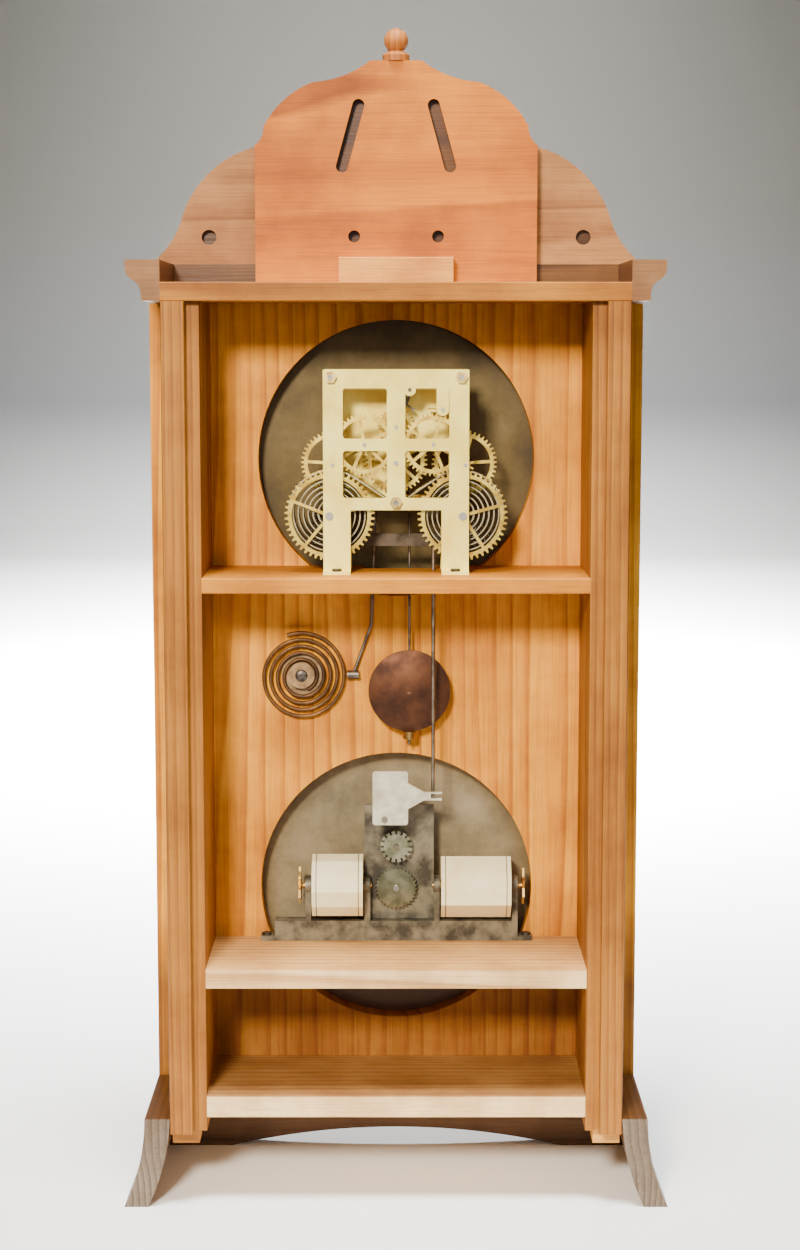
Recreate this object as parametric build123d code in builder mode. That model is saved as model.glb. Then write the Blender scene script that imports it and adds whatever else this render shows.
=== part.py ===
from build123d import *
import math
import os

os.makedirs("parts", exist_ok=True)

# A double-dial calendar shelf clock. X runs along its width, Y from the open
# back (minus) to the dials (plus), Z up. The origin is under its middle.

# Case: overall sizes
case_depth = 136.0
case_half = 150.0
side_thickness = 24.0
rebate_width = 9.0
rebate_depth = 8.0
front_board_thickness = 16.0
moulding_reach = 22.0
foot_flare = 14.0
skirt_top_reach = 17.0
front_board_half = case_half + skirt_top_reach
front_board_chamfer = 3.0
skirt_setback = 10.0
top_ledge = 598.0
side_foot_height = 50.0
overrun = 2.0
edge_round = 1.5
board_edge = 0.8

# Case: places along the depth
back_y = -case_depth / 2
foot_front_y = case_depth / 2
skirt_front_y = foot_front_y - foot_flare
board_front_y = skirt_front_y - skirt_setback
board_back_y = board_front_y - front_board_thickness

# Movement and calendar: places along the depth that the case is bored for
plate_front_setback = 22.0
plate_thickness = 2.0
plate_spacing = 30.0
roller_radius = 22.0
roller_pan_gap = 1.0
plate_front_y = board_back_y - plate_front_setback
inner_front_y = plate_front_y - plate_thickness
inner_back_y = inner_front_y - plate_spacing
plate_back_y = inner_back_y - plate_thickness
roller_y = board_front_y - roller_pan_gap - roller_radius

# Case: boards and their heights
skirt_height = 60.0
skirt_wall = 16.0
skirt_arch_rise = 16.0
skirt_arch_half = 118.0
side_arch_rise = 10.0
side_arch_half = 40.0
bottom_top_z = 74.0
bottom_thickness = 15.0
shelf_top_z = 160.0
shelf_thickness = 13.0
seat_top_z = 420.0
seat_thickness = 10.0
top_thickness = 12.0
cornice_height = 26.0
cornice_foot_reach = 12.0
block_width = 18.0
block_height = 12.0
seat_notch_x = 1.0
seat_notch_width = 46.0
seat_notch_depth = 20.0
seat_link_hole = 3.5
cornice_lip_height = 5.0
cornice_curve_radius = 9.0

# Crest
crest_thickness = 14.0
crest_half = 94.0
crest_height = 147.0
crest_shoulder_drop = 55.0
crest_step_drop = 43.0
crest_step_x = 88.0
crest_neck_x = 17.0
crest_flank_x = 55.0
crest_flank_drop = 14.0
crest_step_radius = 14.0
crest_flank_radius = 60.0
crest_neck_radius = 70.0
slot_top_x = 25.0
slot_top_drop = 29.0
slot_bottom_x = 36.0
slot_drop = 40.0
slot_depth = 9.0
slot_width = 8.0
eye_x = 28.0
eye_rise = 32.0
eye_radius = 4.0
scroll_reach_x = 166.0
scroll_mid_x = 145.0
scroll_mid_rise = 42.0
scroll_root_x = 70.0
scroll_foot_radius = 60.0
scroll_shoulder_radius = 70.0
scroll_thickness = 10.0
scroll_eye_x = 126.0
scroll_eye_rise = 32.0
scroll_eye_radius = 5.0
scroll_eye_depth = 6.0
finial_height = 22.0
finial_base_radius = 9.0
finial_neck_radius = 5.0
finial_ball_radius = 8.0
finial_shoulder_share = 0.8
finial_base_height = 4.0
finial_neck_height = 3.0
crest_block_half = 38.0
crest_block_height = 18.0
crest_block_depth = 14.0

# Dials, bezels and hands
time_dial_z = 493.0
calendar_dial_z = 196.0
bezel_radius = 103.0
bezel_cover = 4.0
pan_seat = 5.0
pan_radius = bezel_radius - bezel_cover
dial_opening_radius = pan_radius - pan_seat
pan_thickness = 1.2
pan_rim_height = 3.0
pan_rim_width = 2.0
pan_hole_gap = 0.5
bezel_width = 12.0
bezel_depth = 11.0
bezel_gap = 0.4
bezel_lip = 3.0
bezel_edge = 3.0
bezel_crown_radius = 14.0
glass_setback = 7.0
glass_thickness = 2.0
glass_fit = 0.3
hinge_pin_radius = 1.2
hinge_knuckle_radius = 2.6
hinge_knuckle_length = 7.0
hinge_gap = 0.3
hinge_axis_gap = 0.5
hinge_running_fit = 0.08
hinge_leaf_reach = 9.0
hinge_leaf_thickness = 1.0
latch_width = 8.0
latch_reach = 7.0
latch_rise = 3.0
latch_thickness = 2.0
hand_thickness = 1.0
hand_fit = 0.03
hand_gap = 1.6
minute_hand_length = 76.0
hour_hand_length = 52.0
date_hand_length = 72.0
hand_tail_length = 14.0
hand_width = 5.0
hand_tip_width = 1.4
hand_tail_width = 3.0
hand_eye_radius = 5.0
hand_spade_share = 0.72
hand_spade_radius = 3.6
hour_hand_turn = -60.0
date_hand_turn = -70.0
winding_hole_radius = 5.5
screw_head_radius = 3.2
screw_head_height = 1.6
screw_shank_radius = 1.4
screw_length = 9.0
screw_hole_depth = 8.0
screw_slot_width = 0.8
screw_slot_depth = 0.8

# Movement: plates and legs
link_setback = 5.0
plate_half = 48.0
plate_top_z = 554.0
plate_bar_z = 462.0
plate_bar_height = 8.0
plate_edge_width = 13.0
plate_centre_half = 6.0
plate_top_bar = 12.0
plate_arm_half = 4.0
plate_corner = 2.0
leg_width = 18.0
leg_foot_reach = 9.0
pillar_radius = 2.8
pillar_nut_radius = 4.2
pillar_nut_height = 2.6
pillar_spigot_radius = 1.6
nut_sides = 6
pillar_inset = 5.0
spring_post_place = (0.0, 467.0)
pivot_clearance = 0.08
arbor_radius = 1.2
winding_arbor_radius = 2.6
winding_square = 3.4
centre_arbor_radius = 1.5
arbor_end_reach = 0.8
winding_end_gap = 1.5

# Movement: wheel trains
great_place = (44.0, 458.0)
great_teeth = 48
great_module = 1.2
pinion_leaves = 8
second_teeth = 42
second_module = 1.0
third_teeth = 42
third_module = 0.95
centre_teeth = 40
third_direction = 150.0
strike_third_x = 24.5
escape_teeth = 30
escape_radius = 13.0
escape_tooth_depth = 2.2
escape_lean_share = 0.25
escape_thickness = 1.2
verge_place = (9.0, 541.0)
wheel_thickness = 1.6
wheel_rim = 2.4
wheel_hub_radius = 3.6
spoke_width = 2.0
spoke_count = 5
root_half_share = 0.28
tip_half_share = 0.12
tooth_height_share = 0.85
tooth_depth_share = 1.15
back_wheel_gap = 3.0
third_wheel_gap = 0.5
third_thickness = 1.2
third_pinion_overlap = 0.3
front_wheel_gap = 2.4
centre_wheel_gap = 5.8
escape_wheel_gap = 9.3
pinion_overlap = 0.5
fly_direction = 75.0
fly_radius = 9.5
fly_length = 15.0
fly_thickness = 0.8
fly_gap = 7.0
fly_collar_share = 2.0
cannon_teeth = 12
motion_teeth = 36
motion_leaves = 10
hour_teeth = 40
motion_reach = 12.0
motion_direction = 270.0
motion_wheel_thickness = 1.4
motion_gap = 1.0
hour_pipe_radius = 3.2
hour_pipe_fit = 0.15

# Mainsprings
spring_strip = 0.8
spring_height = 16.0
spring_wheel_gap = 0.6
spring_inner_radius = 7.0
spiral_samples = 24
spring_outer_radius = 30.0
spring_half_turns = 14
spring_seat_gap = 0.3

# Pendulum
rod_radius = 0.9
pendulum_y_gap = 10.0
bob_radius = 28.0
bob_thickness = 10.0
bob_rim = 2.0
rod_fit = 0.1
rod_tail = 4.0
bob_z = 335.0
rating_nut_radius = 4.5
rating_nut_height = 5.0
suspension_width = 4.0
suspension_thickness = 0.5
suspension_length = 12.0
stud_radius = 2.2
stud_slot_width = 1.4
stud_slot_rise = 1.0
suspension_rise = 5.0
suspension_overlap = 1.0
crutch_length = 38.0
crutch_wire = 0.8
crutch_gap = 0.9
crutch_back_gap = 3.0
pallet_gap = 2.0
saddle_width = 1.4
saddle_neck_turn = 8.0
verge_collar_radius = 2.4
pallet_span = 62.0

# Gong and hammer
gong_place = (-65.0, 345.0)
gong_wire_radius = 1.3
gong_radius = 29.0
gong_half_turns = 9
gong_end_angle = 110.0
gong_boss_radius = 9.0
gong_boss_length = 8.0
gong_wire_setback = 4.0
gong_base_radius = 14.0
gong_base_thickness = 2.0
hammer_pivot = (-14.0, 466.0)
hammer_bend = (-17.0, 380.0)
hammer_head_radius = 3.0
hammer_head_length = 8.0
hammer_gap = 1.0
hammer_wire_radius = 1.1
hammer_collar_radius = 2.6
hammer_bend_radius = 12.0
hammer_board_gap = 3.5

# Calendar mechanism
roller_z = 198.0
month_roller_span = (-58.0, -23.0)
weekday_roller_span = (31.0, 79.0)
weekday_sides = 7
month_sides = 12
roller_arbor_radius = 2.0
star_radius = 13.0
star_thickness = 1.5
star_gap = 3.0
star_root_share = 0.7
roller_end_gap = 1.0
window_height = 9.0
window_corner = 1.0
window_inset = 3.0
frame_base_height = 14.0
frame_upright = 4.0
frame_upright_depth = 12.0
frame_head_radius = 7.0
frame_plate_thickness = 3.0
frame_plate_setback = 1.0
frame_screw_inset = 4.0
frame_ear = 10.0
frame_bar_half = weekday_roller_span[1] + roller_end_gap + frame_upright
frame_half = frame_bar_half + frame_ear
frame_ear_thickness = 3.0
frame_stud_end = 1.0
frame_plate_top_z = 254.0
date_teeth = 31
date_wheel_radius = 15.0
date_tooth_depth = 2.0
date_tooth_lean = 1.0
date_arbor_tail = 2.0
date_wheel_thickness = 2.0
date_wheel_gap = 2.0
date_arbor_radius = 2.0
programme_place = (0.0, 226.0)
programme_radius = 11.0
programme_notches = 16
programme_notch_depth = 2.4
programme_notch_width = 1.4
programme_thickness = 1.5
programme_gap = 1.5
lever_pivot = (-8.0, 250.0)
lever_middle_x = -4.0
lever_half = 12.0
lever_top_z = 283.0
lever_bottom_z = 246.0
lever_spur = (25.0, 266.0)
lever_spur_reach = 6.0
lever_spur_wall = 1.4
lever_beak_rise = 10.0
lever_beak_neck = 6.0
lever_corner = 2.0
lever_link_gap = 3.0
lever_thickness = 2.0
link_radius = 1.2
link_pin_radius = 1.0
link_end = 1.8
link_slot_gap = 0.5
lift_pivot = (-33.0, 440.0)
lift_width = 5.0
lift_height = 8.4
lift_thickness = 1.6
lift_gap = 1.4


# Planes and small builders used by every section

def facing(y, place=(0.0, 0.0)):
    """The upright plane at depth y, centred on a place (x, z); it extrudes towards the open back."""
    return Plane(origin=(place[0], y, place[1]), x_dir=(1, 0, 0), z_dir=(0, -1, 0))


def across(x):
    """The upright plane at width x, with Y and Z as its own axes; it extrudes towards plus X."""
    return Plane(origin=(x, 0, 0), x_dir=(0, 1, 0), z_dir=(1, 0, 0))


def mirrored(place):
    """The same place on the other side of the clock's middle."""
    return (-place[0], place[1])


def save(piece, name):
    """Label a finished piece and write it out under its own name."""
    piece.label = name
    export_step(piece, "parts/" + name + ".step")


def slab(x_span, y_span, z_span, ease=0):
    """A plain board between three pairs of limits; ease rounds its two long edges at the open back."""
    with BuildPart() as board:
        with BuildSketch(Plane.XY.offset(z_span[0])):
            with Locations(((x_span[0] + x_span[1]) / 2, (y_span[0] + y_span[1]) / 2)):
                Rectangle(x_span[1] - x_span[0], y_span[1] - y_span[0])
        extrude(amount=z_span[1] - z_span[0])
        if ease > 0:
            fillet(board.edges().filter_by(Axis.X).group_by(Axis.Y)[0], ease)
    return board.part


def group(pieces):
    """Several separate solids of one kind, held in one piece."""
    return Compound(children=list(pieces))


# Side boards, rebated along their back edges for the missing back panel

side_floor_z = side_foot_height
inner_half = case_half - side_thickness


def side_board(side):
    """One side of the case; side is -1 on the left of the back view and 1 on the right."""
    with BuildPart() as board:
        with BuildSketch(Plane.XY.offset(side_floor_z)):
            with Locations((side * (case_half + inner_half) / 2, (back_y + board_back_y) / 2)):
                Rectangle(side_thickness, board_back_y - back_y)
            with Locations((side * (inner_half + rebate_width / 2), back_y + rebate_depth / 2)):
                Rectangle(rebate_width, rebate_depth, mode=Mode.SUBTRACT)
        extrude(amount=top_ledge - side_floor_z)
        fillet(board.edges().filter_by(Axis.Z).group_by(Axis.Y)[0], board_edge)
    return board.part


save(side_board(-1), "left_side_board")
save(side_board(1), "right_side_board")

# Bottom, shelves and top, all housed between the sides

inner_x_span = (-inner_half, inner_half)
inner_y_span = (back_y + rebate_depth, board_back_y)
bottom_z = bottom_top_z - bottom_thickness
save(slab(inner_x_span, inner_y_span, (bottom_z, bottom_top_z), board_edge), "bottom_board")
frame_screw_places = [(side * (frame_half - frame_screw_inset), roller_y) for side in (-1, 1)]

with BuildPart() as lower_shelf:
    add(slab(inner_x_span, inner_y_span, (shelf_top_z - shelf_thickness, shelf_top_z), board_edge))
    with BuildSketch(Plane.XY.offset(shelf_top_z)):
        with Locations(*frame_screw_places):
            Circle(screw_shank_radius + pivot_clearance)
    extrude(amount=-screw_hole_depth, mode=Mode.SUBTRACT)
save(lower_shelf.part, "lower_shelf")
top_span = (top_ledge, top_ledge + top_thickness)
save(slab((-case_half, case_half), (back_y, board_back_y), top_span, board_edge), "top_board")

# Front board with the two round dial openings

with BuildPart() as front_board:
    with BuildSketch(facing(board_front_y)):
        with Locations((0, (skirt_height + top_ledge) / 2)):
            Rectangle(2 * front_board_half, top_ledge - skirt_height)
        with Locations((0, time_dial_z), (0, calendar_dial_z)):
            Circle(dial_opening_radius, mode=Mode.SUBTRACT)
    extrude(amount=front_board_thickness)
    outer_edges = front_board.edges().filter_by(Axis.Z).group_by(Axis.Y)[-1]
    chamfer(outer_edges, front_board_chamfer)
save(front_board.part, "front_board")

# Skirt with splayed feet: a front piece and two side pieces, mitred at the corners


def skirt_section(reach):
    """The flared section, drawn outwards from the case; reach is where its inner face starts."""
    top_outer = reach + skirt_top_reach
    foot_outer = top_outer + foot_flare
    Line((reach, skirt_height), (top_outer, skirt_height))
    middle = (top_outer + foot_flare / 4, skirt_height / 2)
    ThreePointArc((top_outer, skirt_height), middle, (foot_outer, 0))
    Line((foot_outer, 0), (foot_outer - skirt_wall, 0))
    inner_middle = (middle[0] - skirt_wall, middle[1])
    ThreePointArc((foot_outer - skirt_wall, 0), inner_middle, (reach, skirt_height))


def skirt_arch(half, rise):
    """A shallow arch that leaves a foot at each end of a skirt piece."""
    Line((-half, 0), (half, 0))
    ThreePointArc((half, 0), (0, rise), (-half, 0))


front_reach = skirt_front_y - skirt_top_reach
mitre_corner = (case_half, front_reach)


def mitre_plane(side):
    """The upright plane that halves a front corner of the skirt or of the cornice."""
    return Plane(origin=(side * mitre_corner[0], mitre_corner[1], 0), x_dir=(0, 0, 1), z_dir=(side, -1, 0))


with BuildPart() as skirt_front:
    with BuildSketch(across(-case_half - moulding_reach - foot_flare)):
        with BuildLine():
            skirt_section(front_reach)
        make_face()
    extrude(amount=2 * (case_half + moulding_reach + foot_flare))
    with BuildSketch(facing(foot_front_y + overrun)):
        with BuildLine():
            skirt_arch(skirt_arch_half, skirt_arch_rise)
        make_face()
    extrude(amount=case_depth, mode=Mode.SUBTRACT)
    split(bisect_by=mitre_plane(1), keep=Keep.BOTTOM)
    split(bisect_by=mitre_plane(-1), keep=Keep.BOTTOM)
save(skirt_front.part, "skirt_front")


def skirt_side(side):
    """One side of the skirt, from the open back to its mitred front corner."""
    with BuildPart() as skirt:
        with BuildSketch(facing(foot_front_y)):
            with BuildLine():
                skirt_section(case_half)
            make_face()
            if side < 0:
                mirror(about=Plane.YZ, mode=Mode.REPLACE)
        extrude(amount=case_depth)
        with BuildSketch(across(-case_depth * 2)):
            with BuildLine():
                skirt_arch(side_arch_half, side_arch_rise)
            make_face()
        extrude(amount=case_depth * 4, mode=Mode.SUBTRACT)
        split(bisect_by=mitre_plane(side), keep=Keep.TOP)
    return skirt.part


save(group([skirt_side(-1), skirt_side(1)]), "skirt_sides")

# Glue blocks inside the skirt's front corners and under the bottom board


def skirt_block(side, y_low):
    """A glue block under the end of a side board, against the skirt."""
    x_span = sorted((side * case_half, side * (case_half - block_width)))
    return slab(x_span, (y_low, y_low + block_width), (side_floor_z - block_height, side_floor_z))


block_starts = (back_y + block_width, board_back_y - block_width)
skirt_blocks = [skirt_block(side, y_low) for side in (-1, 1) for y_low in block_starts]

# Seat board under the movement, notched for the pendulum and bored for the calendar link

link_y = inner_front_y - link_setback
link_x = lever_spur[0]


def foot_middle(front_y, foot_side):
    """The depth of the middle of a movement plate's feet; foot_side is 1 where they point to the dial."""
    return front_y - plate_thickness / 2 + foot_side * (plate_thickness + leg_foot_reach) / 2


foot_x = plate_half - leg_width / 2
foot_depths = (foot_middle(plate_front_y, 1), foot_middle(inner_back_y, -1))
foot_screw_places = [(side * foot_x, depth) for side in (-1, 1) for depth in foot_depths]

with BuildPart() as seat_board:
    with BuildSketch(Plane.XY.offset(seat_top_z - seat_thickness)):
        with Locations((0, (back_y + rebate_depth + board_back_y) / 2)):
            Rectangle(2 * inner_half, board_back_y - back_y - rebate_depth)
        with Locations((seat_notch_x, board_back_y)):
            Rectangle(seat_notch_width, 2 * seat_notch_depth, mode=Mode.SUBTRACT)
        with Locations((link_x, link_y)):
            Circle(seat_link_hole, mode=Mode.SUBTRACT)
    extrude(amount=seat_thickness)
    fillet(seat_board.edges().filter_by(Axis.X).group_by(Axis.Y)[0], board_edge)
    with BuildSketch(Plane.XY.offset(seat_top_z)):
        with Locations(*foot_screw_places):
            Circle(screw_shank_radius + pivot_clearance)
    extrude(amount=-screw_hole_depth, mode=Mode.SUBTRACT)
save(seat_board.part, "seat_board")

# Cornice: three mitred lengths of one moulding around the top board


def cornice_section(reach):
    """The cornice's section, drawn outwards from the case core at a given reach."""
    foot = (reach + cornice_foot_reach, top_ledge)
    lip = (reach + moulding_reach, top_ledge + cornice_height)
    lip_bottom = (lip[0], lip[1] - cornice_lip_height)
    step = (foot[0], foot[1] + cornice_lip_height)
    middle = ((step[0] + lip_bottom[0]) / 2, (step[1] + lip_bottom[1]) / 2)
    Polyline((reach, top_ledge), foot, step)
    RadiusArc(step, middle, cornice_curve_radius)
    RadiusArc(middle, lip_bottom, -cornice_curve_radius)
    Polyline(lip_bottom, lip, (reach, lip[1]), (reach, top_ledge))


def cornice_mitre(side):
    """The upright plane that halves a front corner of the cornice."""
    return Plane(origin=(side * case_half, board_back_y, 0), x_dir=(0, 0, 1), z_dir=(side, -1, 0))


with BuildPart() as cornice_front:
    with BuildSketch(across(-case_half - moulding_reach)):
        with BuildLine():
            cornice_section(board_back_y)
        make_face()
    extrude(amount=2 * (case_half + moulding_reach))
    split(bisect_by=cornice_mitre(1), keep=Keep.BOTTOM)
    split(bisect_by=cornice_mitre(-1), keep=Keep.BOTTOM)


def cornice_side(side):
    """One return of the cornice, from the open back to its mitred front corner."""
    with BuildPart() as cornice:
        with BuildSketch(facing(board_back_y + moulding_reach)):
            with BuildLine():
                cornice_section(case_half)
            make_face()
            if side < 0:
                mirror(about=Plane.YZ, mode=Mode.REPLACE)
        extrude(amount=board_back_y + moulding_reach - back_y)
        split(bisect_by=cornice_mitre(side), keep=Keep.TOP)
    return cornice.part


save(group([cornice_side(-1), cornice_front.part, cornice_side(1)]), "cornice")

# Crest: a pierced gable board, its two applied scrolls, a finial and a glue block

crest_floor_z = top_ledge + top_thickness
crest_neck_z = crest_floor_z + crest_height
crest_shoulder_z = crest_neck_z - crest_shoulder_drop
crest_back_y = board_back_y - crest_thickness
slot_middle = ((slot_top_x + slot_bottom_x) / 2, crest_neck_z - slot_top_drop - slot_drop / 2)
slot_lean = math.atan2(slot_bottom_x - slot_top_x, slot_drop)


def both_ways(place):
    """A place (x, z) and its mirror image across the middle."""
    return [place, mirrored(place)]


def crest_flank(side):
    """One flank of the gable, from the foot of the board to the neck under the finial."""
    foot = (side * crest_half, crest_floor_z)
    shoulder = (side * crest_half, crest_shoulder_z)
    step = (side * crest_step_x, crest_neck_z - crest_step_drop)
    flank = (side * crest_flank_x, crest_neck_z - crest_flank_drop)
    neck = (side * crest_neck_x, crest_neck_z)
    Line(foot, shoulder)
    RadiusArc(shoulder, step, side * crest_step_radius)
    RadiusArc(step, flank, -side * crest_flank_radius)
    RadiusArc(flank, neck, side * crest_neck_radius)


with BuildPart() as crest_board:
    with BuildSketch(facing(board_back_y)):
        with BuildLine():
            Line((-crest_half, crest_floor_z), (crest_half, crest_floor_z))
            crest_flank(1)
            Line((crest_neck_x, crest_neck_z), (-crest_neck_x, crest_neck_z))
            crest_flank(-1)
        make_face()
    extrude(amount=crest_thickness)
    with BuildSketch(facing(crest_back_y + slot_depth)):
        for side in (-1, 1):
            with Locations((side * slot_middle[0], slot_middle[1])):
                slot_length = slot_drop / math.cos(slot_lean) + slot_width
                SlotOverall(slot_length, slot_width, rotation=90 + side * math.degrees(slot_lean))
        with Locations(*both_ways((eye_x, crest_floor_z + eye_rise))):
            Circle(eye_radius)
    extrude(amount=slot_depth, mode=Mode.SUBTRACT)
save(crest_board.part, "crest_board")

cornice_top_z = top_ledge + cornice_height


def crest_scroll(side):
    """A sawn scroll that runs down the gable's shoulder to the corner of the cornice."""
    with BuildPart() as scroll:
        with BuildSketch(facing(board_back_y + scroll_thickness)):
            with BuildLine():
                tip = (side * scroll_reach_x, cornice_top_z)
                middle = (side * scroll_mid_x, crest_floor_z + scroll_mid_rise)
                shoulder = (side * crest_half, crest_shoulder_z)
                root_top = (side * scroll_root_x, crest_shoulder_z)
                root = (side * scroll_root_x, cornice_top_z)
                RadiusArc(tip, middle, side * scroll_foot_radius)
                RadiusArc(middle, shoulder, -side * scroll_shoulder_radius)
                Polyline(shoulder, root_top, root, tip)
            make_face()
        extrude(amount=scroll_thickness)
        eye = (side * scroll_eye_x, crest_floor_z + scroll_eye_rise)
        with BuildSketch(facing(board_back_y + scroll_eye_depth, eye)):
            Circle(scroll_eye_radius)
        extrude(amount=scroll_eye_depth, mode=Mode.SUBTRACT)
    return scroll.part


save(group([crest_scroll(-1), crest_scroll(1)]), "crest_scrolls")

with BuildPart() as finial:
    with BuildSketch(Plane.XZ):
        with BuildLine():
            base_top_z = crest_neck_z + finial_base_height
            neck_top_z = base_top_z + finial_neck_height
            spire_z = neck_top_z + 2 * finial_ball_radius * finial_shoulder_share
            Polyline(
                (0, crest_neck_z),
                (finial_base_radius, crest_neck_z),
                (finial_base_radius, base_top_z),
                (finial_neck_radius, neck_top_z),
            )
            ball_middle = (finial_ball_radius, (neck_top_z + spire_z) / 2)
            ThreePointArc((finial_neck_radius, neck_top_z), ball_middle, (finial_neck_radius, spire_z))
            Polyline((finial_neck_radius, spire_z), (0, crest_neck_z + finial_height), (0, crest_neck_z))
        make_face()
    revolve(axis=Axis.Z)
save(finial.part.moved(Location((0, board_back_y - crest_thickness / 2, 0))), "crest_finial")

crest_block = slab(
    (-crest_block_half, crest_block_half),
    (crest_back_y - crest_block_depth, crest_back_y),
    (crest_floor_z, crest_floor_z + crest_block_height),
    board_edge,
)
save(group(skirt_blocks + [crest_block]), "glue_blocks")

# Dial pans: sheet discs with a rolled rim, standing on the front board's face

pan_front_y = board_front_y + pan_thickness
pan_rim_y = board_front_y + pan_rim_height
great_right = great_place
great_left = mirrored(great_place)


def dial_pan(dial_z, add_holes):
    """One dial pan; add_holes draws its holes into the disc."""
    with BuildPart() as pan:
        with BuildSketch(facing(pan_front_y, (0, dial_z))):
            Circle(pan_radius)
            add_holes()
        extrude(amount=pan_thickness)
        with BuildSketch(facing(pan_rim_y, (0, dial_z))):
            Circle(pan_radius)
            Circle(pan_radius - pan_rim_width, mode=Mode.SUBTRACT)
        extrude(amount=pan_rim_height)
    return pan.part


def time_dial_holes():
    """The centre hole for the hands and the two winding holes."""
    Circle(hour_pipe_radius + pan_hole_gap, mode=Mode.SUBTRACT)
    with Locations(*[(place[0], place[1] - time_dial_z) for place in (great_left, great_right)]):
        Circle(winding_hole_radius, mode=Mode.SUBTRACT)


def calendar_dial_holes():
    """The centre hole for the date hand and a window before each roller."""
    Circle(date_arbor_radius + pan_hole_gap, mode=Mode.SUBTRACT)
    for span in (month_roller_span, weekday_roller_span):
        with Locations(((span[0] + span[1]) / 2, roller_z - calendar_dial_z)):
            window_width = span[1] - span[0] - 2 * window_inset
            RectangleRounded(window_width, window_height, window_corner, mode=Mode.SUBTRACT)


save(dial_pan(time_dial_z, time_dial_holes), "time_dial")
save(dial_pan(calendar_dial_z, calendar_dial_holes), "calendar_dial")

# Bezels, their glasses, hinges and catches

bezel_back_y = pan_rim_y + bezel_gap
bezel_front_y = bezel_back_y + bezel_depth
glass_back_y = bezel_back_y + glass_setback
glass_front_y = glass_back_y + glass_thickness
bezel_inner = bezel_radius - bezel_width
glass_radius = bezel_inner + bezel_lip
hinge_x = bezel_radius + hinge_knuckle_radius + hinge_axis_gap
hinge_y = bezel_back_y + hinge_knuckle_radius
tab_back_y = bezel_back_y + latch_rise


def ring_section():
    """The bezel's half section beside its axis, with the rebate that holds the glass."""
    back = bezel_back_y
    shoulder = (bezel_radius, back + bezel_edge)
    crown = (bezel_inner + bezel_lip, bezel_front_y)
    Polyline((glass_radius + glass_fit, back), (bezel_radius, back), shoulder)
    RadiusArc(shoulder, crown, -bezel_crown_radius)
    Polyline(
        crown,
        (bezel_inner, bezel_front_y),
        (bezel_inner, glass_front_y),
        (glass_radius + glass_fit, glass_front_y),
        (glass_radius + glass_fit, back),
    )


def bezel_ring(dial_z):
    """A turned bezel with its own hinge knuckle on one side and a thumb tab on the other."""
    with BuildPart() as bezel:
        with BuildSketch(Plane.XY.offset(dial_z)):
            with BuildLine():
                ring_section()
            make_face()
        revolve(axis=Axis((0, 0, dial_z), (0, 1, 0)))
        with BuildSketch(Plane.XY.offset(dial_z - hinge_knuckle_length / 2)):
            with Locations((hinge_x, hinge_y)):
                Circle(hinge_knuckle_radius)
            with Locations(((bezel_radius - edge_round + hinge_x) / 2, bezel_back_y + bezel_edge / 2)):
                Rectangle(hinge_x - bezel_radius + edge_round, bezel_edge)
            with Locations((hinge_x, hinge_y)):
                Circle(hinge_pin_radius + hinge_running_fit, mode=Mode.SUBTRACT)
        extrude(amount=hinge_knuckle_length)
        with BuildSketch(Plane.XY.offset(dial_z - latch_width / 2)):
            with Locations((-bezel_radius - (latch_reach - edge_round) / 2, tab_back_y + latch_thickness / 2)):
                Rectangle(latch_reach + edge_round, latch_thickness)
        extrude(amount=latch_width)
    return bezel.part


def bezel_glass(dial_z):
    """The flat glass that stands in the bezel's rebate."""
    with BuildPart() as glass:
        with BuildSketch(facing(glass_front_y, (0, dial_z))):
            Circle(glass_radius)
        extrude(amount=glass_thickness)
    return glass.part


save(bezel_ring(time_dial_z), "time_bezel")
save(bezel_glass(time_dial_z), "time_glass")
save(bezel_ring(calendar_dial_z), "calendar_bezel")
save(bezel_glass(calendar_dial_z), "calendar_glass")

leaf_span = (hinge_x, hinge_x + hinge_leaf_reach)
knuckle_step = hinge_knuckle_length + hinge_gap


def hinge_leaf(dial_z):
    """A hinge leaf screwed to the front board, with a knuckle above and one below the bezel's own."""
    leaf_middle = ((leaf_span[0] + leaf_span[1]) / 2, dial_z)
    with BuildPart() as leaf:
        with BuildSketch(facing(board_front_y + hinge_leaf_thickness, leaf_middle)):
            Rectangle(leaf_span[1] - leaf_span[0], 2 * knuckle_step + hinge_knuckle_length)
        extrude(amount=hinge_leaf_thickness)
        for step in (-1, 1):
            with BuildSketch(Plane.XY.offset(dial_z + step * knuckle_step - hinge_knuckle_length / 2)):
                with Locations((hinge_x, hinge_y)):
                    Circle(hinge_knuckle_radius)
                with Locations((hinge_x + hinge_knuckle_radius / 2, (board_front_y + hinge_y) / 2)):
                    Rectangle(hinge_knuckle_radius, hinge_y - board_front_y)
                with Locations((hinge_x, hinge_y)):
                    Circle(hinge_pin_radius + hinge_running_fit, mode=Mode.SUBTRACT)
            extrude(amount=hinge_knuckle_length)
    return leaf.part


def hinge_pin(dial_z):
    """The pin through all three knuckles, with a low head on top."""
    pin_length = 2 * knuckle_step + hinge_knuckle_length
    with BuildPart() as pin:
        with BuildSketch(Plane.XY.offset(dial_z - pin_length / 2)):
            with Locations((hinge_x, hinge_y)):
                Circle(hinge_pin_radius)
        extrude(amount=pin_length)
        with BuildSketch(Plane.XY.offset(dial_z + pin_length / 2)):
            with Locations((hinge_x, hinge_y)):
                Circle(hinge_knuckle_radius)
        extrude(amount=hinge_leaf_thickness)
    return pin.part


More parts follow.
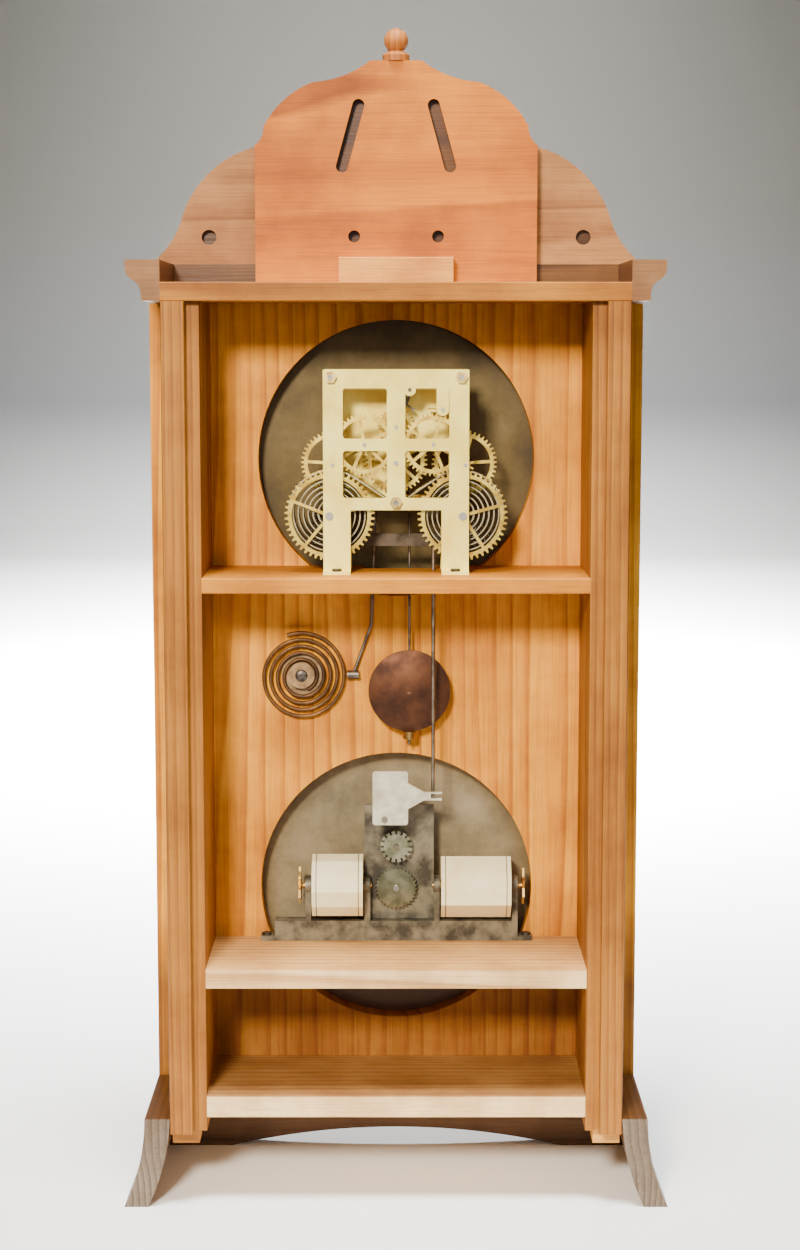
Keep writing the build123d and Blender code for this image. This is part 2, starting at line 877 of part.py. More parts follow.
def bezel_catch(dial_z):
    """The small block that the bezel's thumb tab closes on."""
    catch_x = -bezel_radius - hinge_gap
    return slab(
        (catch_x - latch_reach, catch_x),
        (board_front_y, tab_back_y - hinge_gap),
        (dial_z - latch_width / 2, dial_z + latch_width / 2),
    )


dial_heights = (time_dial_z, calendar_dial_z)
save(group([hinge_leaf(dial_z) for dial_z in dial_heights]), "bezel_hinge_leaves")
save(group([hinge_pin(dial_z) for dial_z in dial_heights]), "bezel_hinge_pins")
save(group([bezel_catch(dial_z) for dial_z in dial_heights]), "bezel_catches")

# Hands

hour_hand_y = pan_rim_y + hand_gap
minute_hand_y = hour_hand_y + hand_thickness + hand_gap


def hand(place, y, length, bore, turn):
    """A tapered hand with a round eye and a short tail; turn leans it from upright, seen from the back."""
    with BuildPart() as piece:
        with BuildSketch(facing(y + hand_thickness, place)):
            with BuildLine():
                Polyline(
                    (-hand_width / 2, 0),
                    (-hand_tail_width / 2, -hand_tail_length),
                    (hand_tail_width / 2, -hand_tail_length),
                    (hand_width / 2, 0),
                    (hand_tip_width / 2, length),
                    (-hand_tip_width / 2, length),
                    close=True,
                )
            make_face()
            Circle(hand_eye_radius)
            with Locations((0, length * hand_spade_share)):
                Circle(hand_spade_radius)
            Circle(bore, mode=Mode.SUBTRACT)
        extrude(amount=hand_thickness)
    turned = piece.part.rotate(Axis((place[0], 0, place[1]), (0, -1, 0)), turn)
    return turned


time_centre = (0.0, time_dial_z)
calendar_centre = (0.0, calendar_dial_z)
minute_bore = centre_arbor_radius + hand_fit
hour_bore = hour_pipe_radius + hand_fit
date_bore = date_arbor_radius + hand_fit
save(hand(time_centre, minute_hand_y, minute_hand_length, minute_bore, 0), "minute_hand")
save(hand(time_centre, hour_hand_y, hour_hand_length, hour_bore, hour_hand_turn), "hour_hand")
save(hand(calendar_centre, hour_hand_y, date_hand_length, date_bore, date_hand_turn), "date_hand")

# Movement: two pierced plates on legs, held apart by three pillars


def meet(place_a, reach_a, place_b, reach_b, side):
    """The place at two given distances from two others, on the chosen side of the line between them."""
    gap = math.dist(place_a, place_b)
    along = (reach_a ** 2 - reach_b ** 2 + gap ** 2) / (2 * gap)
    off = math.sqrt(reach_a ** 2 - along ** 2) * side
    step = ((place_b[0] - place_a[0]) / gap, (place_b[1] - place_a[1]) / gap)
    return (place_a[0] + step[0] * along + step[1] * off, place_a[1] + step[1] * along - step[0] * off)


def polar(place, reach, degrees):
    """The place at a distance and a direction from another."""
    turn = math.radians(degrees)
    return (place[0] + reach * math.cos(turn), place[1] + reach * math.sin(turn))


def centres(wheel_teeth, leaves, module):
    """The distance between the arbors of a meshed pair."""
    return (wheel_teeth + leaves) * module / 2


third_left = polar(time_centre, centres(centre_teeth, pinion_leaves, second_module), third_direction)
great_reach = centres(great_teeth, pinion_leaves, great_module)
second_reach = centres(second_teeth, pinion_leaves, second_module)
third_reach = centres(third_teeth, pinion_leaves, third_module)
second_left = meet(great_left, great_reach, third_left, second_reach, -1)
escape_place = (0.0, third_left[1] + math.sqrt(third_reach ** 2 - third_left[0] ** 2))
third_right = (strike_third_x, third_left[1])
second_right = meet(great_right, great_reach, third_right, second_reach, 1)
fly_place = polar(third_right, third_reach, fly_direction)
motion_place = polar(time_centre, motion_reach, motion_direction)
pillar_places = [
    (-plate_half + pillar_inset, plate_top_z - pillar_inset),
    (plate_half - pillar_inset, plate_top_z - pillar_inset),
    spring_post_place,
]
small_arbor_places = [second_left, third_left, escape_place, verge_place, second_right, third_right, fly_place]


def movement_plate(front_y, foot_side, pillar_bore, windows):
    """A movement plate on two legs with screwed feet; windows lists its windows as (side, 1 if upper)."""
    with BuildPart() as plate:
        with BuildSketch(facing(front_y)):
            with Locations((0, (plate_top_z + plate_bar_z) / 2)):
                Rectangle(2 * plate_half, plate_top_z - plate_bar_z)
            for side in (-1, 1):
                with Locations((side * (plate_half - leg_width / 2), (seat_top_z + plate_bar_z) / 2)):
                    Rectangle(leg_width, plate_bar_z - seat_top_z)
            window_width = plate_half - plate_edge_width - plate_centre_half
            window_x = plate_centre_half + window_width / 2
            upper_height = plate_top_z - plate_top_bar - third_left[1] - plate_arm_half
            lower_height = third_left[1] - plate_arm_half - plate_bar_z - plate_bar_height
            heights = (lower_height, upper_height)
            lower_middle = plate_bar_z + plate_bar_height + lower_height / 2
            middles = (lower_middle, plate_top_z - plate_top_bar - upper_height / 2)
            for side, row in windows:
                with Locations((side * window_x, middles[row])):
                    RectangleRounded(window_width, heights[row], plate_corner, mode=Mode.SUBTRACT)
            with Locations((fly_place[0], (fly_place[1] + plate_top_z) / 2)):
                Rectangle(2 * plate_arm_half, plate_top_z - fly_place[1])
            with Locations(fly_place, verge_place):
                Circle(plate_arm_half)
            with Locations(*small_arbor_places):
                Circle(arbor_radius + pivot_clearance, mode=Mode.SUBTRACT)
            with Locations(great_left, great_right):
                Circle(winding_arbor_radius + pivot_clearance, mode=Mode.SUBTRACT)
            with Locations(time_centre):
                Circle(centre_arbor_radius + pivot_clearance, mode=Mode.SUBTRACT)
            if pillar_bore > 0:
                with Locations(*pillar_places):
                    Circle(pillar_bore, mode=Mode.SUBTRACT)
        extrude(amount=plate_thickness)
        middle_y = foot_middle(front_y, foot_side)
        with BuildSketch(Plane.XY.offset(seat_top_z)):
            for side in (-1, 1):
                with Locations((side * foot_x, middle_y)):
                    Rectangle(leg_width, leg_foot_reach)
                with Locations((side * foot_x, middle_y)):
                    Circle(screw_shank_radius + pivot_clearance, mode=Mode.SUBTRACT)
        extrude(amount=plate_thickness)
    return plate.part


back_windows = [(side, row) for side in (-1, 1) for row in (0, 1)]
front_windows = [(1, 0)]
back_bore = pillar_spigot_radius + pivot_clearance
save(movement_plate(plate_front_y, 1, 0, front_windows), "movement_front_plate")
save(movement_plate(inner_back_y, -1, back_bore, back_windows), "movement_back_plate")


def pillar(place):
    """A turned pillar, riveted to the front plate and spigoted through the back plate."""
    with BuildPart() as post:
        with BuildSketch(facing(inner_front_y, place)):
            Circle(pillar_radius)
        extrude(amount=plate_spacing)
        with BuildSketch(facing(inner_back_y, place)):
            Circle(pillar_spigot_radius)
        extrude(amount=plate_thickness + pillar_nut_height)
    return post.part


def pillar_nut(place):
    """The hexagon nut that holds the back plate on its pillar."""
    with BuildPart() as nut:
        with BuildSketch(facing(plate_back_y, place)):
            RegularPolygon(pillar_nut_radius, nut_sides)
            Circle(pillar_spigot_radius + pivot_clearance, mode=Mode.SUBTRACT)
        extrude(amount=pillar_nut_height)
    return nut.part


save(group([pillar(place) for place in pillar_places]), "movement_pillars")
save(group([pillar_nut(place) for place in pillar_places]), "pillar_nuts")

# Wheels and pinions


def tooth_points(teeth, module, phase):
    """The outline of a toothed wheel: four points for each tooth, round one turn."""
    pitch_radius = teeth * module / 2
    tip = pitch_radius + module * tooth_height_share
    root = pitch_radius - module * tooth_depth_share
    step = 360 / teeth
    points = []
    for tooth in range(teeth):
        middle = phase + tooth * step
        for half_share, radius in ((-root_half_share, root), (-tip_half_share, tip)):
            points.append(polar((0, 0), radius, middle + half_share * step))
        for half_share, radius in ((tip_half_share, tip), (root_half_share, root)):
            points.append(polar((0, 0), radius, middle + half_share * step))
    return points


def direction(place_a, place_b):
    """The direction from one place to another, in degrees as seen from the back."""
    return math.degrees(math.atan2(place_b[1] - place_a[1], place_b[0] - place_a[0]))


def mesh_phase(place_a, phase_a, teeth_a, place_b, teeth_b):
    """The phase that sets a gap of wheel b on the tooth line of wheel a."""
    line = direction(place_a, place_b)
    return line + 180 + 180 / teeth_b - (phase_a - line) * teeth_a / teeth_b


def add_wheel(place, y, thickness, teeth, module, phase):
    """A crossed-out wheel, added to the part being built."""
    rim = teeth * module / 2 - module * tooth_depth_share - wheel_rim
    with BuildSketch(facing(y, place)) as outline:
        with BuildLine():
            Polyline(*tooth_points(teeth, module, phase), close=True)
        make_face()
        Circle(rim, mode=Mode.SUBTRACT)
        with PolarLocations(0, spoke_count, start_angle=phase):
            with Locations(((rim + wheel_rim / 2) / 2, 0)):
                Rectangle(rim + wheel_rim / 2, spoke_width)
        Circle(wheel_hub_radius)
    extrude(outline.sketch, amount=thickness)


def add_pinion(place, y, length, teeth, module, phase):
    """A solid leafed pinion, added to the part being built."""
    with BuildSketch(facing(y, place)) as outline:
        with BuildLine():
            Polyline(*tooth_points(teeth, module, phase), close=True)
        make_face()
    extrude(outline.sketch, amount=length)


def add_arbor(place, y_front, y_back, radius):
    """A plain round arbor between two depths, added to the part being built."""
    with BuildSketch(facing(y_front, place)) as outline:
        Circle(radius)
    extrude(outline.sketch, amount=y_front - y_back)


back_wheel_y = inner_back_y + back_wheel_gap + wheel_thickness
back_pinion_y = back_wheel_y + pinion_overlap
pinion_length = wheel_thickness + 2 * pinion_overlap
third_wheel_y = inner_back_y + third_wheel_gap + third_thickness
third_pinion_y = third_wheel_y + third_pinion_overlap
third_pinion_length = third_thickness + 2 * third_pinion_overlap
front_wheel_y = inner_front_y - front_wheel_gap
centre_wheel_y = inner_front_y - centre_wheel_gap
escape_wheel_y = inner_front_y - escape_wheel_gap
arbor_end_y = (plate_front_y + arbor_end_reach, plate_back_y - arbor_end_reach)
winding_end_y = board_front_y - winding_end_gap

# Going and striking trains share their great, second and third wheels, mirrored


def great_wheel(place, phase):
    """A great wheel on its winding arbor, whose squared end stands behind the dial."""
    with BuildPart() as wheel:
        add_wheel(place, back_wheel_y, wheel_thickness, great_teeth, great_module, phase)
        add_arbor(place, plate_front_y + arbor_end_reach, arbor_end_y[1], winding_arbor_radius)
        with BuildSketch(facing(winding_end_y, place)):
            Rectangle(winding_square, winding_square)
        extrude(amount=winding_end_y - plate_front_y)
    return wheel.part


def train_phases(great, second, third):
    """The phases of the second pinion, second wheel, third pinion and third wheel of one train."""
    great_phase = direction(great, second)
    second_pinion = mesh_phase(great, great_phase, great_teeth, second, pinion_leaves)
    second_phase = direction(second, third)
    third_pinion = mesh_phase(second, second_phase, second_teeth, third, pinion_leaves)
    return great_phase, second_pinion, second_phase, third_pinion


def second_wheel(place, pinion_phase, wheel_phase):
    """A second wheel, with the pinion that its great wheel drives."""
    with BuildPart() as wheel:
        add_wheel(place, front_wheel_y, wheel_thickness, second_teeth, second_module, wheel_phase)
        add_pinion(place, back_pinion_y, pinion_length, pinion_leaves, great_module, pinion_phase)
        add_arbor(place, arbor_end_y[0], arbor_end_y[1], arbor_radius)
    return wheel.part


def third_wheel(place, pinion_phase, wheel_phase, pinion_back_y):
    """A third wheel, with the pinion that its second wheel drives."""
    with BuildPart() as wheel:
        add_wheel(place, third_wheel_y, third_thickness, third_teeth, third_module, wheel_phase)
        pinion_front_y = front_wheel_y + pinion_overlap
        pinion_reach = pinion_front_y - pinion_back_y
        add_pinion(place, pinion_front_y, pinion_reach, pinion_leaves, second_module, pinion_phase)
        add_arbor(place, arbor_end_y[0], arbor_end_y[1], arbor_radius)
    return wheel.part


time_phases = train_phases(great_left, second_left, third_left)
strike_phases = train_phases(great_right, second_right, third_right)
time_third_phase = direction(third_left, escape_place)
strike_third_phase = direction(third_right, fly_place)
short_pinion_back_y = front_wheel_y - wheel_thickness - pinion_overlap
long_pinion_back_y = centre_wheel_y - wheel_thickness - pinion_overlap

save(great_wheel(great_left, time_phases[0]), "time_great_wheel")
save(great_wheel(great_right, strike_phases[0]), "strike_great_wheel")
save(second_wheel(second_left, time_phases[1], time_phases[2]), "time_second_wheel")
save(second_wheel(second_right, strike_phases[1], strike_phases[2]), "strike_second_wheel")
save(third_wheel(third_left, time_phases[3], time_third_phase, long_pinion_back_y), "time_third_wheel")
save(third_wheel(third_right, strike_phases[3], strike_third_phase, short_pinion_back_y), "strike_third_wheel")

# Escape wheel, and the fly that slows the striking train

with BuildPart() as escape_wheel:
    escape_phase = mesh_phase(third_left, time_third_phase, third_teeth, escape_place, pinion_leaves)
    with BuildSketch(facing(escape_wheel_y, escape_place)):
        with BuildLine():
            escape_points = []
            for tooth in range(escape_teeth):
                middle = tooth * 360 / escape_teeth
                root_turn = middle + 360 / escape_teeth * escape_lean_share
                escape_points.append(polar((0, 0), escape_radius, middle))
                escape_points.append(polar((0, 0), escape_radius - escape_tooth_depth, root_turn))
            Polyline(*escape_points, close=True)
        make_face()
        escape_rim = escape_radius - escape_tooth_depth - wheel_rim
        Circle(escape_rim, mode=Mode.SUBTRACT)
        with PolarLocations(0, spoke_count):
            with Locations(((escape_rim + wheel_rim / 2) / 2, 0)):
                Rectangle(escape_rim + wheel_rim / 2, spoke_width)
        Circle(wheel_hub_radius)
    extrude(amount=escape_thickness)
    add_pinion(escape_place, third_pinion_y, third_pinion_length, pinion_leaves, third_module, escape_phase)
    add_arbor(escape_place, arbor_end_y[0], arbor_end_y[1], arbor_radius)
save(escape_wheel.part, "escape_wheel")

with BuildPart() as fly:
    fly_phase = mesh_phase(third_right, strike_third_phase, third_teeth, fly_place, pinion_leaves)
    add_pinion(fly_place, third_pinion_y, third_pinion_length, pinion_leaves, third_module, fly_phase)
    add_arbor(fly_place, arbor_end_y[0], arbor_end_y[1], arbor_radius)
    with BuildSketch(facing(inner_front_y - fly_gap, fly_place)):
        Rectangle(2 * fly_radius, fly_thickness)
        Circle(arbor_radius * fly_collar_share)
    extrude(amount=fly_length)
save(fly.part, "strike_fly")

# Centre arbor with its wheel and cannon pinion, and the motion work to the hour hand

cannon_y = plate_front_y + motion_gap + motion_wheel_thickness
motion_pinion_length = 2 * motion_gap + motion_wheel_thickness
hour_wheel_y = cannon_y + motion_pinion_length - motion_gap / 2
hour_module = 2 * motion_reach / (motion_leaves + hour_teeth)
cannon_module = 2 * motion_reach / (cannon_teeth + motion_teeth)
cannon_phase = direction(time_centre, motion_place)
motion_wheel_phase = mesh_phase(time_centre, cannon_phase, cannon_teeth, motion_place, motion_teeth)
motion_pinion_phase = direction(motion_place, time_centre)
hour_phase = mesh_phase(motion_place, motion_pinion_phase, motion_leaves, time_centre, hour_teeth)

with BuildPart() as centre_arbor:
    centre_phase = mesh_phase(third_left, time_phases[3], pinion_leaves, time_centre, centre_teeth)
    add_wheel(time_centre, centre_wheel_y, wheel_thickness, centre_teeth, second_module, centre_phase)
    add_arbor(time_centre, minute_hand_y + hand_thickness + hand_gap / 2, arbor_end_y[1], centre_arbor_radius)
    add_pinion(time_centre, cannon_y, motion_wheel_thickness, cannon_teeth, cannon_module, cannon_phase)
save(centre_arbor.part, "centre_arbor")

with BuildPart() as motion_wheel:
    with BuildSketch(facing(cannon_y, motion_place)):
        with BuildLine():
            Polyline(*tooth_points(motion_teeth, cannon_module, motion_wheel_phase), close=True)
        make_face()
    extrude(amount=motion_wheel_thickness)
    add_pinion(
        motion_place,
        cannon_y + motion_pinion_length,
        motion_pinion_length,
        motion_leaves,
        hour_module,
        motion_pinion_phase,
    )
    with BuildSketch(facing(cannon_y + motion_pinion_length, motion_place)):
        Circle(arbor_radius + pivot_clearance)
    extrude(amount=motion_pinion_length + motion_wheel_thickness, mode=Mode.SUBTRACT)
save(motion_wheel.part, "motion_wheel")

with BuildPart() as motion_stud:
    add_arbor(motion_place, cannon_y + motion_pinion_length + motion_gap, plate_front_y, arbor_radius)

with BuildPart() as hour_wheel:
    with BuildSketch(facing(hour_wheel_y, time_centre)):
        with BuildLine():
            Polyline(*tooth_points(hour_teeth, hour_module, hour_phase), close=True)
        make_face()
    extrude(amount=motion_wheel_thickness)
    with BuildSketch(facing(hour_hand_y + hand_thickness, time_centre)):
        Circle(hour_pipe_radius)
    extrude(amount=hour_hand_y + hand_thickness - hour_wheel_y + motion_wheel_thickness)
    with BuildSketch(facing(hour_hand_y + hand_thickness, time_centre)):
        Circle(centre_arbor_radius + hour_pipe_fit)
    extrude(amount=hour_hand_y + hand_thickness - hour_wheel_y + motion_wheel_thickness, mode=Mode.SUBTRACT)
save(hour_wheel.part, "hour_wheel")

# Wound forms: spirals of half turns, used by the mainsprings and the gong


def spiral_arcs(place, inner, growth, half_turns, end_turn, sense):
    """The half turns of a spiral: (centre, radius, start turn) of each arc, from the inside out."""
    centre = place
    arcs = []
    for index in range(half_turns):
        radius = inner + index * growth
        start = end_turn - sense * 180 * (half_turns - index)
        arcs.append((centre, radius, start))
        centre = polar(centre, -growth, start + 180)
    return arcs


def sampled(arcs, sense, samples):
    """Points along the arcs of a spiral."""
    points = []
    for centre, radius, start in arcs:
        points += [polar(centre, radius, start + sense * 180 * index / samples) for index in range(samples)]
    return points


def least_gap(points, wire, samples):
    """The least gap between turns that are at least a full turn apart."""
    own_turn = 2 * samples - samples // 4
    apart = [
        math.dist(points[first], points[second])
        for first in range(len(points))
        for second in range(first + own_turn, len(points))
    ]
    return min(apart) - wire


# Mainsprings: flat strips wound round the winding arbors, their outer ends seated on the middle pillar

spring_front_y = centre_wheel_y - wheel_thickness - spring_wheel_gap
spring_growth = (spring_outer_radius - spring_inner_radius) / spring_half_turns


def mainspring(place, sense):
    """One mainspring, wound outwards in the given sense as seen from the back."""
    post_reach = pillar_radius + spring_seat_gap + spring_strip / 2
    post_edge = (spring_post_place[0] + post_reach * (1 if place[0] > 0 else -1), spring_post_place[1])
    tail_reach = math.dist(place, post_edge)
    leave_turn = direction(place, post_edge) - sense * math.degrees(math.acos(spring_outer_radius / tail_reach))
    arcs = spiral_arcs(place, spring_inner_radius, spring_growth, spring_half_turns, leave_turn, sense)
    with BuildPart() as spring:
        with BuildLine(facing(spring_front_y)) as path:
            for centre, radius, start in arcs:
                CenterArc(centre, radius, start, sense * 180)
            last_centre, last_radius, last_start = arcs[-1]
            leave = polar(last_centre, last_radius, last_start + sense * 180)
            Line(leave, post_edge)
        strip_plane = Plane(origin=path.line @ 0, x_dir=(0, 1, 0), z_dir=path.line % 0)
        with BuildSketch(strip_plane) as strip:
            with Locations((-spring_height / 2, 0)):
                Rectangle(spring_height, spring_strip)
        sweep(sections=strip.sketch, path=path.line)
    points = sampled(arcs, sense, spiral_samples)
    print("mainspring least gap", round(least_gap(points, spring_strip, spiral_samples), 3))
    return spring.part


save(mainspring(great_left, -1), "time_mainspring")
save(mainspring(great_right, 1), "strike_mainspring")

# Verge with its crutch, the suspension stud, and the pendulum

pendulum_y = plate_front_y + pendulum_y_gap
pendulum_x = verge_place[0]
suspension_place = (pendulum_x, verge_place[1] + suspension_rise)
verge_line = direction(escape_place, verge_place)

with BuildPart() as verge:
    saddle_inner = escape_radius + pallet_gap
    with BuildSketch(facing(escape_wheel_y)):
        with BuildLine():
            first = verge_line - pallet_span / 2
            CenterArc(escape_place, saddle_inner, first, pallet_span)
            CenterArc(escape_place, saddle_inner + saddle_width, first, pallet_span)
            for turn in (first, first + pallet_span):
                inner_end = polar(escape_place, saddle_inner, turn)
                Line(inner_end, polar(escape_place, saddle_inner + saddle_width, turn))
        make_face()
        with BuildLine():
            Polyline(
                polar(escape_place, saddle_inner + saddle_width / 2, verge_line - saddle_neck_turn),
                polar(escape_place, saddle_inner + saddle_width / 2, verge_line + saddle_neck_turn),
                polar(verge_place, verge_collar_radius, verge_line + 90),
                polar(verge_place, verge_collar_radius, verge_line - 90),
                close=True,
            )
        make_face()
        with Locations(verge_place):
            Circle(verge_collar_radius)
    extrude(amount=escape_thickness)
    crutch_y = pendulum_y - crutch_wire / 2 - crutch_back_gap
    add_arbor(verge_place, crutch_y + crutch_wire, arbor_end_y[1], arbor_radius)
    with BuildSketch(facing(crutch_y + crutch_wire)):
        with Locations((pendulum_x, verge_place[1] - crutch_length / 2)):
            Rectangle(crutch_wire, crutch_length)
        with Locations((pendulum_x, verge_place[1] - crutch_length)):
            Rectangle(2 * (rod_radius + crutch_gap + crutch_wire), crutch_wire)
    extrude(amount=crutch_wire)
    with BuildSketch(facing(pendulum_y + crutch_back_gap)):
        for side in (-1, 1):
            prong_x = pendulum_x + side * (rod_radius + crutch_gap + crutch_wire / 2)
            with Locations((prong_x, verge_place[1] - crutch_length)):
                Rectangle(crutch_wire, crutch_wire)
    extrude(amount=pendulum_y + crutch_back_gap - crutch_y)
save(verge.part, "verge_and_crutch")

with BuildPart() as suspension_stud:
    with BuildSketch(facing(pendulum_y + suspension_width, suspension_place)):
        Circle(stud_radius)
    extrude(amount=pendulum_y + suspension_width - plate_front_y)
    with BuildSketch(facing(pendulum_y + suspension_width, suspension_place)):
        with Locations((0, -stud_radius / 2)):
            Rectangle(stud_slot_width, stud_radius + stud_slot_rise)
    extrude(amount=suspension_width * 2, mode=Mode.SUBTRACT)

spring_top_z = suspension_place[1] + stud_slot_rise / 2 - spring_seat_gap
rod_top_z = spring_top_z - suspension_length

with BuildPart() as pendulum_rod:
    with BuildSketch(Plane.XY.offset(rod_top_z - suspension_overlap)):
        with Locations((pendulum_x, pendulum_y)):
            Rectangle(suspension_thickness, suspension_width)
    extrude(amount=suspension_length + suspension_overlap)
    with BuildSketch(Plane.XY.offset(bob_z - bob_radius - rating_nut_height - rod_tail)):
        with Locations((pendulum_x, pendulum_y)):
            Circle(rod_radius)
    extrude(amount=rod_top_z - bob_z + bob_radius + rating_nut_height + rod_tail)
save(pendulum_rod.part, "pendulum_rod")

bob_rise = (bob_thickness - bob_rim) / 2
bob_crown_radius = (bob_radius ** 2 + bob_rise ** 2) / (2 * bob_rise)

with BuildPart() as pendulum_bob:
    with BuildSketch(Plane.XY.offset(bob_z)):
        with BuildLine():
            rim_back = (pendulum_x + bob_radius, pendulum_y - bob_rim / 2)
            rim_front = (pendulum_x + bob_radius, pendulum_y + bob_rim / 2)
            crown_back = (pendulum_x, pendulum_y - bob_thickness / 2)
            crown_front = (pendulum_x, pendulum_y + bob_thickness / 2)
            Line(crown_back, crown_front)
            RadiusArc(crown_front, rim_front, bob_crown_radius)
            Line(rim_front, rim_back)
            RadiusArc(rim_back, crown_back, bob_crown_radius)
        make_face()
    revolve(axis=Axis((pendulum_x, 0, bob_z), (0, 1, 0)))
    with BuildSketch(Plane.XY.offset(bob_z - bob_radius - overrun)):
        with Locations((pendulum_x, pendulum_y)):
            Circle(rod_radius + rod_fit)
    extrude(amount=2 * (bob_radius + overrun), mode=Mode.SUBTRACT)
save(pendulum_bob.part, "pendulum_bob")

with BuildPart() as rating_nut:
    with BuildSketch(Plane.XY.offset(bob_z - bob_radius - rod_fit - rating_nut_height)):
        with Locations((pendulum_x, pendulum_y)):
            Circle(rating_nut_radius)
            Circle(rod_radius + rod_fit, mode=Mode.SUBTRACT)
    extrude(amount=rating_nut_height)
save(rating_nut.part, "rating_nut")

# Gong: a coiled wire on an iron boss, and the hammer that strikes it

gong_y = board_back_y - gong_wire_setback
gong_inner = gong_boss_radius + gong_wire_radius + spring_seat_gap
gong_growth = (gong_radius - gong_inner) / (gong_half_turns - 1)
gong_arcs = spiral_arcs(gong_place, gong_inner, gong_growth, gong_half_turns, gong_end_angle, 1)

with BuildPart() as gong:
    with BuildLine(facing(gong_y)) as gong_path:
        for centre, radius, start in gong_arcs:
            CenterArc(centre, radius, start, 180)
    gong_plane = Plane(origin=gong_path.line @ 0, x_dir=(0, 1, 0), z_dir=gong_path.line % 0)
    with BuildSketch(gong_plane) as gong_section:
        Circle(gong_wire_radius)
    sweep(sections=gong_section.sketch, path=gong_path.line)
save(gong.part, "gong")
gong_points = sampled(gong_arcs, 1, spiral_samples)
print("gong least gap", round(least_gap(gong_points, 2 * gong_wire_radius, spiral_samples), 3))

with BuildPart() as gong_base:
    with BuildSketch(facing(board_back_y, gong_place)):
        Circle(gong_base_radius)
    extrude(amount=gong_base_thickness)
    with BuildSketch(facing(board_back_y, gong_place)):
        Circle(gong_boss_radius)
    extrude(amount=gong_boss_length)
save(gong_base.part, "gong_base")

hammer_y = board_back_y - hammer_board_gap
gong_right_x = gong_place[0] + gong_radius + gong_wire_radius
hammer_head_x = gong_right_x + hammer_gap
hammer_head_place = (hammer_head_x + hammer_head_length / 2, gong_place[1])

with BuildPart() as strike_hammer:
    with BuildLine(facing(hammer_y)) as hammer_wire:
        FilletPolyline(hammer_pivot, hammer_bend, hammer_head_place, radius=hammer_bend_radius)
    hammer_plane = Plane(origin=hammer_wire.line @ 0, x_dir=(0, 1, 0), z_dir=hammer_wire.line % 0)
    with BuildSketch(hammer_plane) as hammer_section:
        Circle(hammer_wire_radius)
    sweep(sections=hammer_section.sketch, path=hammer_wire.line)
    with BuildSketch(across(hammer_head_x)):
        with Locations((hammer_y, hammer_head_place[1])):
            Circle(hammer_head_radius)
    extrude(amount=hammer_head_length)
    with BuildSketch(facing(hammer_y + hammer_wire_radius, hammer_pivot)):
        Circle(hammer_collar_radius)
    extrude(amount=hammer_y + hammer_wire_radius - plate_front_y - spring_seat_gap)
    with BuildSketch(facing(hammer_y + hammer_wire_radius, hammer_pivot)):
        Circle(arbor_radius + pivot_clearance)
    extrude(amount=hammer_y - plate_front_y + hammer_wire_radius, mode=Mode.SUBTRACT)
save(strike_hammer.part, "strike_hammer")

with BuildPart() as hammer_stud:
    add_arbor(hammer_pivot, hammer_y + hammer_wire_radius, plate_front_y, arbor_radius)

# Calendar frame: an iron bar on the lower shelf, four uprights for the rollers and a plate for the date work

plate_y = board_back_y - frame_plate_setback
date_wheel_y = plate_y - frame_plate_thickness - date_wheel_gap
programme_y = date_wheel_y - date_wheel_thickness - programme_gap
lever_y = link_y - lever_thickness / 2 - lever_link_gap


def upright_starts(span):
    """Where the two uprights of one roller begin along X."""
    return (span[0] - roller_end_gap - frame_upright, span[1] + roller_end_gap)


upright_places = [start for span in (month_roller_span, weekday_roller_span) for start in upright_starts(span)]

with BuildPart() as calendar_frame:
    with BuildSketch(Plane.XY.offset(shelf_top_z)):
        with Locations((0, roller_y)):
            Rectangle(2 * frame_half, frame_upright_depth)
        with Locations(*frame_screw_places):
            Circle(screw_shank_radius + pivot_clearance, mode=Mode.SUBTRACT)
    extrude(amount=frame_ear_thickness)
    with BuildSketch(Plane.XY.offset(shelf_top_z)):
        with Locations((0, roller_y)):
            Rectangle(2 * frame_bar_half, frame_upright_depth)
    extrude(amount=frame_base_height)
    for start in upright_places:
        with BuildSketch(across(start)):
            with Locations((roller_y, (shelf_top_z + roller_z) / 2)):
                Rectangle(frame_upright_depth, roller_z - shelf_top_z)
            with Locations((roller_y, roller_z)):
                Circle(frame_head_radius)
                Circle(roller_arbor_radius + pivot_clearance, mode=Mode.SUBTRACT)
        extrude(amount=frame_upright)
    with BuildSketch(facing(plate_y)):
        with Locations(((upright_places[1] + upright_places[2]) / 2, (shelf_top_z + frame_plate_top_z) / 2)):
            Rectangle(upright_places[2] - upright_places[1], frame_plate_top_z - shelf_top_z)
        with Locations(calendar_centre):
            Circle(date_arbor_radius + pivot_clearance, mode=Mode.SUBTRACT)
    extrude(amount=frame_plate_thickness)
    for place, piece_y in ((programme_place, programme_y), (lever_pivot, lever_y)):
        stud_end_y = piece_y - frame_stud_end - lever_thickness
        add_arbor(place, plate_y - frame_plate_thickness, stud_end_y, roller_arbor_radius)
save(calendar_frame.part, "calendar_frame")

# Rollers: many-sided drums on their own arbors, each with a star wheel outside its outer upright


